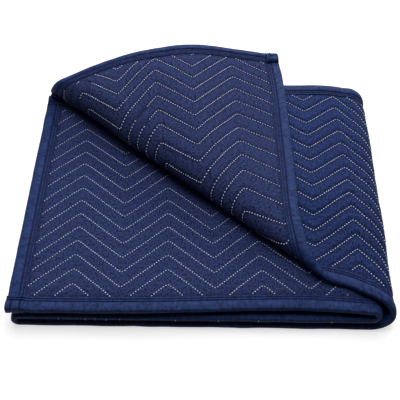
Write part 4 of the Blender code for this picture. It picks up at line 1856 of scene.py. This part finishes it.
@dataclass
class QuiltingEnds:
    """Ends of the quilting thread, short upright stitches on the folded front edge."""

    front: Binding
    stations: tuple[float, ...] = (
        0.9236, 0.8876, 0.8746, 0.8596, 0.8416, 0.7676, 0.7106, 0.6576, 0.5606)
    rises: tuple[float, float] = (0.0026, -0.0014)   # of a stitch's top and bottom
    lift: float = 0.0002         # it lies this far clear of the tape
    width: float = 0.0009
    height: float = 0.0006

    def build(self, material: Any) -> Any:
        """Sew every end as one piece.

        Args:
            material: Finish of the thread.

        Returns:
            The finished piece.
        """
        station = np.array(self.stations)
        inward = np.full_like(station, self.front.fold_inset - self.front.fold_reach - self.lift)
        top, low = (self.front.lay(station, inward, np.full_like(station, rise)) for rise in self.rises)
        normal = np.tile((0.0, -1.0, 0.0), (len(station), 1))
        return sew("quilting_ends", top, low, normal, self.width, self.height, material, Finish.CLOTH)


# -------------------------------------------------------------------- studio
@dataclass
class Studio:
    """White sweep, a large soft light overhead and a lower one behind.

    The sweep throws no light back on the blanket, so that its sides stay dark.
    """

    floor_size: float = 12.0
    floor_points: int = 9        # to each side of its net
    focal: float = 797.0         # focal length in the frame's own pixels
    frame: float = 400.0
    sensor: float = 36.0
    eye: tuple[float, float, float] = (0.01726, -0.79572, 0.93305)
    tilt: float = 50.0           # degrees down from level
    yaw: float = -1.66           # degrees to the right of straight back
    roll: float = -0.68          # degrees that the camera leans
    sky: float = 0.05            # strength of the even light from all round
    lamps: tuple[tuple[str, tuple[float, float, float], float, float], ...] = (
        # name, place, size, watts
        ("overhead", (-0.1, 0.4, 2.2), 1.7, 43.0),
        ("low_back", (0.45, 1.9, 1.2), 1.2, 37.0),
    )

    def build_floor(self, material: Any) -> Any:
        """Make the sweep as a square net on the floor.

        Args:
            material: Finish of the paper.

        Returns:
            The sweep.
        """
        half = 0.5 * self.floor_size
        side = np.linspace(-half, half, self.floor_points)
        x, y = np.meshgrid(side, side)
        points = np.stack((x, y, 0.0 * x), -1).reshape(-1, 3)
        floor = make_piece("studio_floor", points, net_faces(*x.shape), points[:, :2])
        floor.data.materials.append(material)
        floor.visible_diffuse = False
        return floor

    def build_lights(self) -> None:
        """Light the sky evenly and add the soft lamps, each facing the blanket."""
        world = bpy.data.worlds.new("studio_sky")
        world.use_nodes = True
        ground = world.node_tree.nodes["Background"]
        ground.inputs["Color"].default_value = (1.0, 1.0, 1.0, 1.0)
        ground.inputs["Strength"].default_value = self.sky
        bpy.context.scene.world = world
        bpy.context.scene.view_settings.view_transform = "Standard"
        for name, place, size, watts in self.lamps:
            light = bpy.data.lights.new(name, "AREA")
            light.size = size
            light.energy = watts
            lamp = bpy.data.objects.new(name, light)
            aim = Vector(place)
            lamp.matrix_world = Matrix.Translation(aim) @ aim.to_track_quat("Z", "Y").to_matrix().to_4x4()
            bpy.context.scene.collection.objects.link(lamp)

    def build_camera(self) -> Any:
        """Place the camera by its tilt, yaw and roll.

        Returns:
            The camera, made the scene's own.
        """
        tilt, yaw, roll = (math.radians(a) for a in (self.tilt, self.yaw, self.roll))
        ahead = Vector((math.sin(yaw) * math.cos(tilt), math.cos(yaw) * math.cos(tilt), -math.sin(tilt)))
        right = Vector((math.cos(yaw), -math.sin(yaw), 0.0))
        up = right.cross(ahead)
        turned = right * math.cos(roll) + up * math.sin(roll)
        upward = up * math.cos(roll) - right * math.sin(roll)
        optics = bpy.data.cameras.new("studio_camera")
        optics.sensor_width = self.sensor
        optics.lens = self.sensor * self.focal / self.frame
        camera = bpy.data.objects.new("studio_camera", optics)
        axes = Matrix((turned, upward, -ahead)).transposed()
        camera.matrix_world = Matrix.Translation(Vector(self.eye)) @ axes.to_4x4()
        bpy.context.scene.collection.objects.link(camera)
        bpy.context.scene.camera = camera
        return camera


# ------------------------------------------------------------------- the whole
def quilted_fields(stack: FoldedStack) -> tuple[QuiltedField, ...]:
    """The regions of quilting that show, and which face each is on.

    Args:
        stack: The folded shape.

    Returns:
        The fields.
    """
    upper = Chevrons(
        (0.0840, 0.0877), 0.0635, 0.0098, -0.0403, 0.0245, 0.0530,
        aside=((-0.09, -0.04, -0.16), (-0.06, -0.06, -0.11), (-0.04, -0.10, -0.15)),
        along=((0.11, -0.01, 0.08), (0.06, 0.04, 0.12), (-0.02, 0.12, 0.23)),
        within=(-1.0, 4.3, -1.0, 12.0))
    top = Chevrons(
        (0.4640, 0.3888), 0.0515, 0.0000, -0.0210, 0.0247, 0.0364,
        aside=((-0.26, -0.09, -0.06), (-0.04, -0.06, -0.11), (-0.43, -0.41, -0.39)),
        along=((-0.13, -0.18, 0.10), (0.10, -0.09, 0.05), (-0.18, -0.34, -0.19)),
        within=(-1.1, 0.7, -12.0, 0.0), stretched=(0.2, 0.4, 0.45))
    flap = Chevrons(
        (0.1795, 0.4175), 0.0592, 0.2800, -0.0500, 0.0268, 0.0538, 2.0, 0.58,
        aside=((1.08, 0.44, 0.01), (0.39, 0.01, -0.12), (-0.12, 0.03, -0.08)),
        along=((-0.28, -0.10, -0.16), (-0.47, 0.01, 0.01), (-0.49, 0.26, -0.18)),
        within=(-1.8, 2.6, -11.0, 1.0), stretched=(-1.2, -0.5, -0.11))

    def ahead(u: Array, y: Array) -> Array:
        """Distance past the roll's own start, in quarter turns of the roll."""
        share, distance = stack.roll_place(*stack.plan_top(u, y))
        return distance / (0.5 * math.pi * through(stack.roll_radius, share))

    def on_upper(u: Array, y: Array) -> Array:
        """Where the upper layer is not under the roll."""
        return (u < stack.upper_end) & (stack.roll_place(u, y)[1] > -0.012)

    def on_right(u: Array, y: Array) -> Array:
        """Where the top layer is not under the flap."""
        x, _ = stack.plan_top(u, y)
        return (u > stack.lower_end) & (ahead(u, y) < -1.0) & (x > stack.flap_edge_x - 0.030)

    def on_flap(u: Array, y: Array) -> Array:
        """Past the start of the roll."""
        return (u > stack.top_start) & (ahead(u, y) > -1.0)

    return (
        QuiltedField("upper", upper, Face.FIRST, lambda u, y: (u, y), on_upper, 0.45),
        QuiltedField("right", top, Face.SECOND, stack.plan_top, on_right, 1.4),
        QuiltedField("flap", flap, Face.FIRST, stack.plan_flap, on_flap, 1.1),
        QuiltedField("flap_lining", flap, Face.SECOND, stack.plan_flap, on_flap),
    )


def main() -> None:
    """Load the frame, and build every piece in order."""
    logging.basicConfig(level=logging.INFO, format="%(name)s: %(message)s")
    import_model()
    stack = FoldedStack()
    panel = QuiltPanel(stack, quilted_fields(stack))
    lining = QuiltedCloth("quilted_navy_lining", light="#2b3e75", dark="#010620",
                          faded="#1a2754", deep="#040a28")
    cloth = panel.build(QuiltedCloth().build(), lining.build())
    LOG.info("%s: %d faces", cloth.name, len(cloth.data.polygons))
    pale = SewingThread("pale_thread", "#e6ecff", "#c6d2ff").build()
    threads = Quilting(panel).build(pale)
    woven = WovenTape().build()
    bindings = {
        Edge.FRONT: FrontBinding(stack, Edge.FRONT),
        Edge.BACK: Binding(stack, Edge.BACK),
        Edge.INNER_END: Binding(stack, Edge.INNER_END),
        Edge.TOP_END: Binding(stack, Edge.TOP_END, seams=(0.0178, 0.0138, 0.0104)),
    }
    tapes = [binding.build(woven) for binding in bindings.values()]
    for tape in tapes:
        LOG.info("%s: %d faces", tape.name, len(tape.data.polygons))
    navy = SewingThread("navy_thread", "#1e2e6c", "#121c50").build()
    threads += [TapeSewing(bindings).build(navy), QuiltingEnds(bindings[Edge.FRONT]).build(pale)]
    studio = Studio()
    floor = studio.build_floor(StudioPaper().build())
    studio.build_lights()
    studio.build_camera()
    LOG.info("cloth declared, sizes written")


if __name__ == "__main__":
    main()
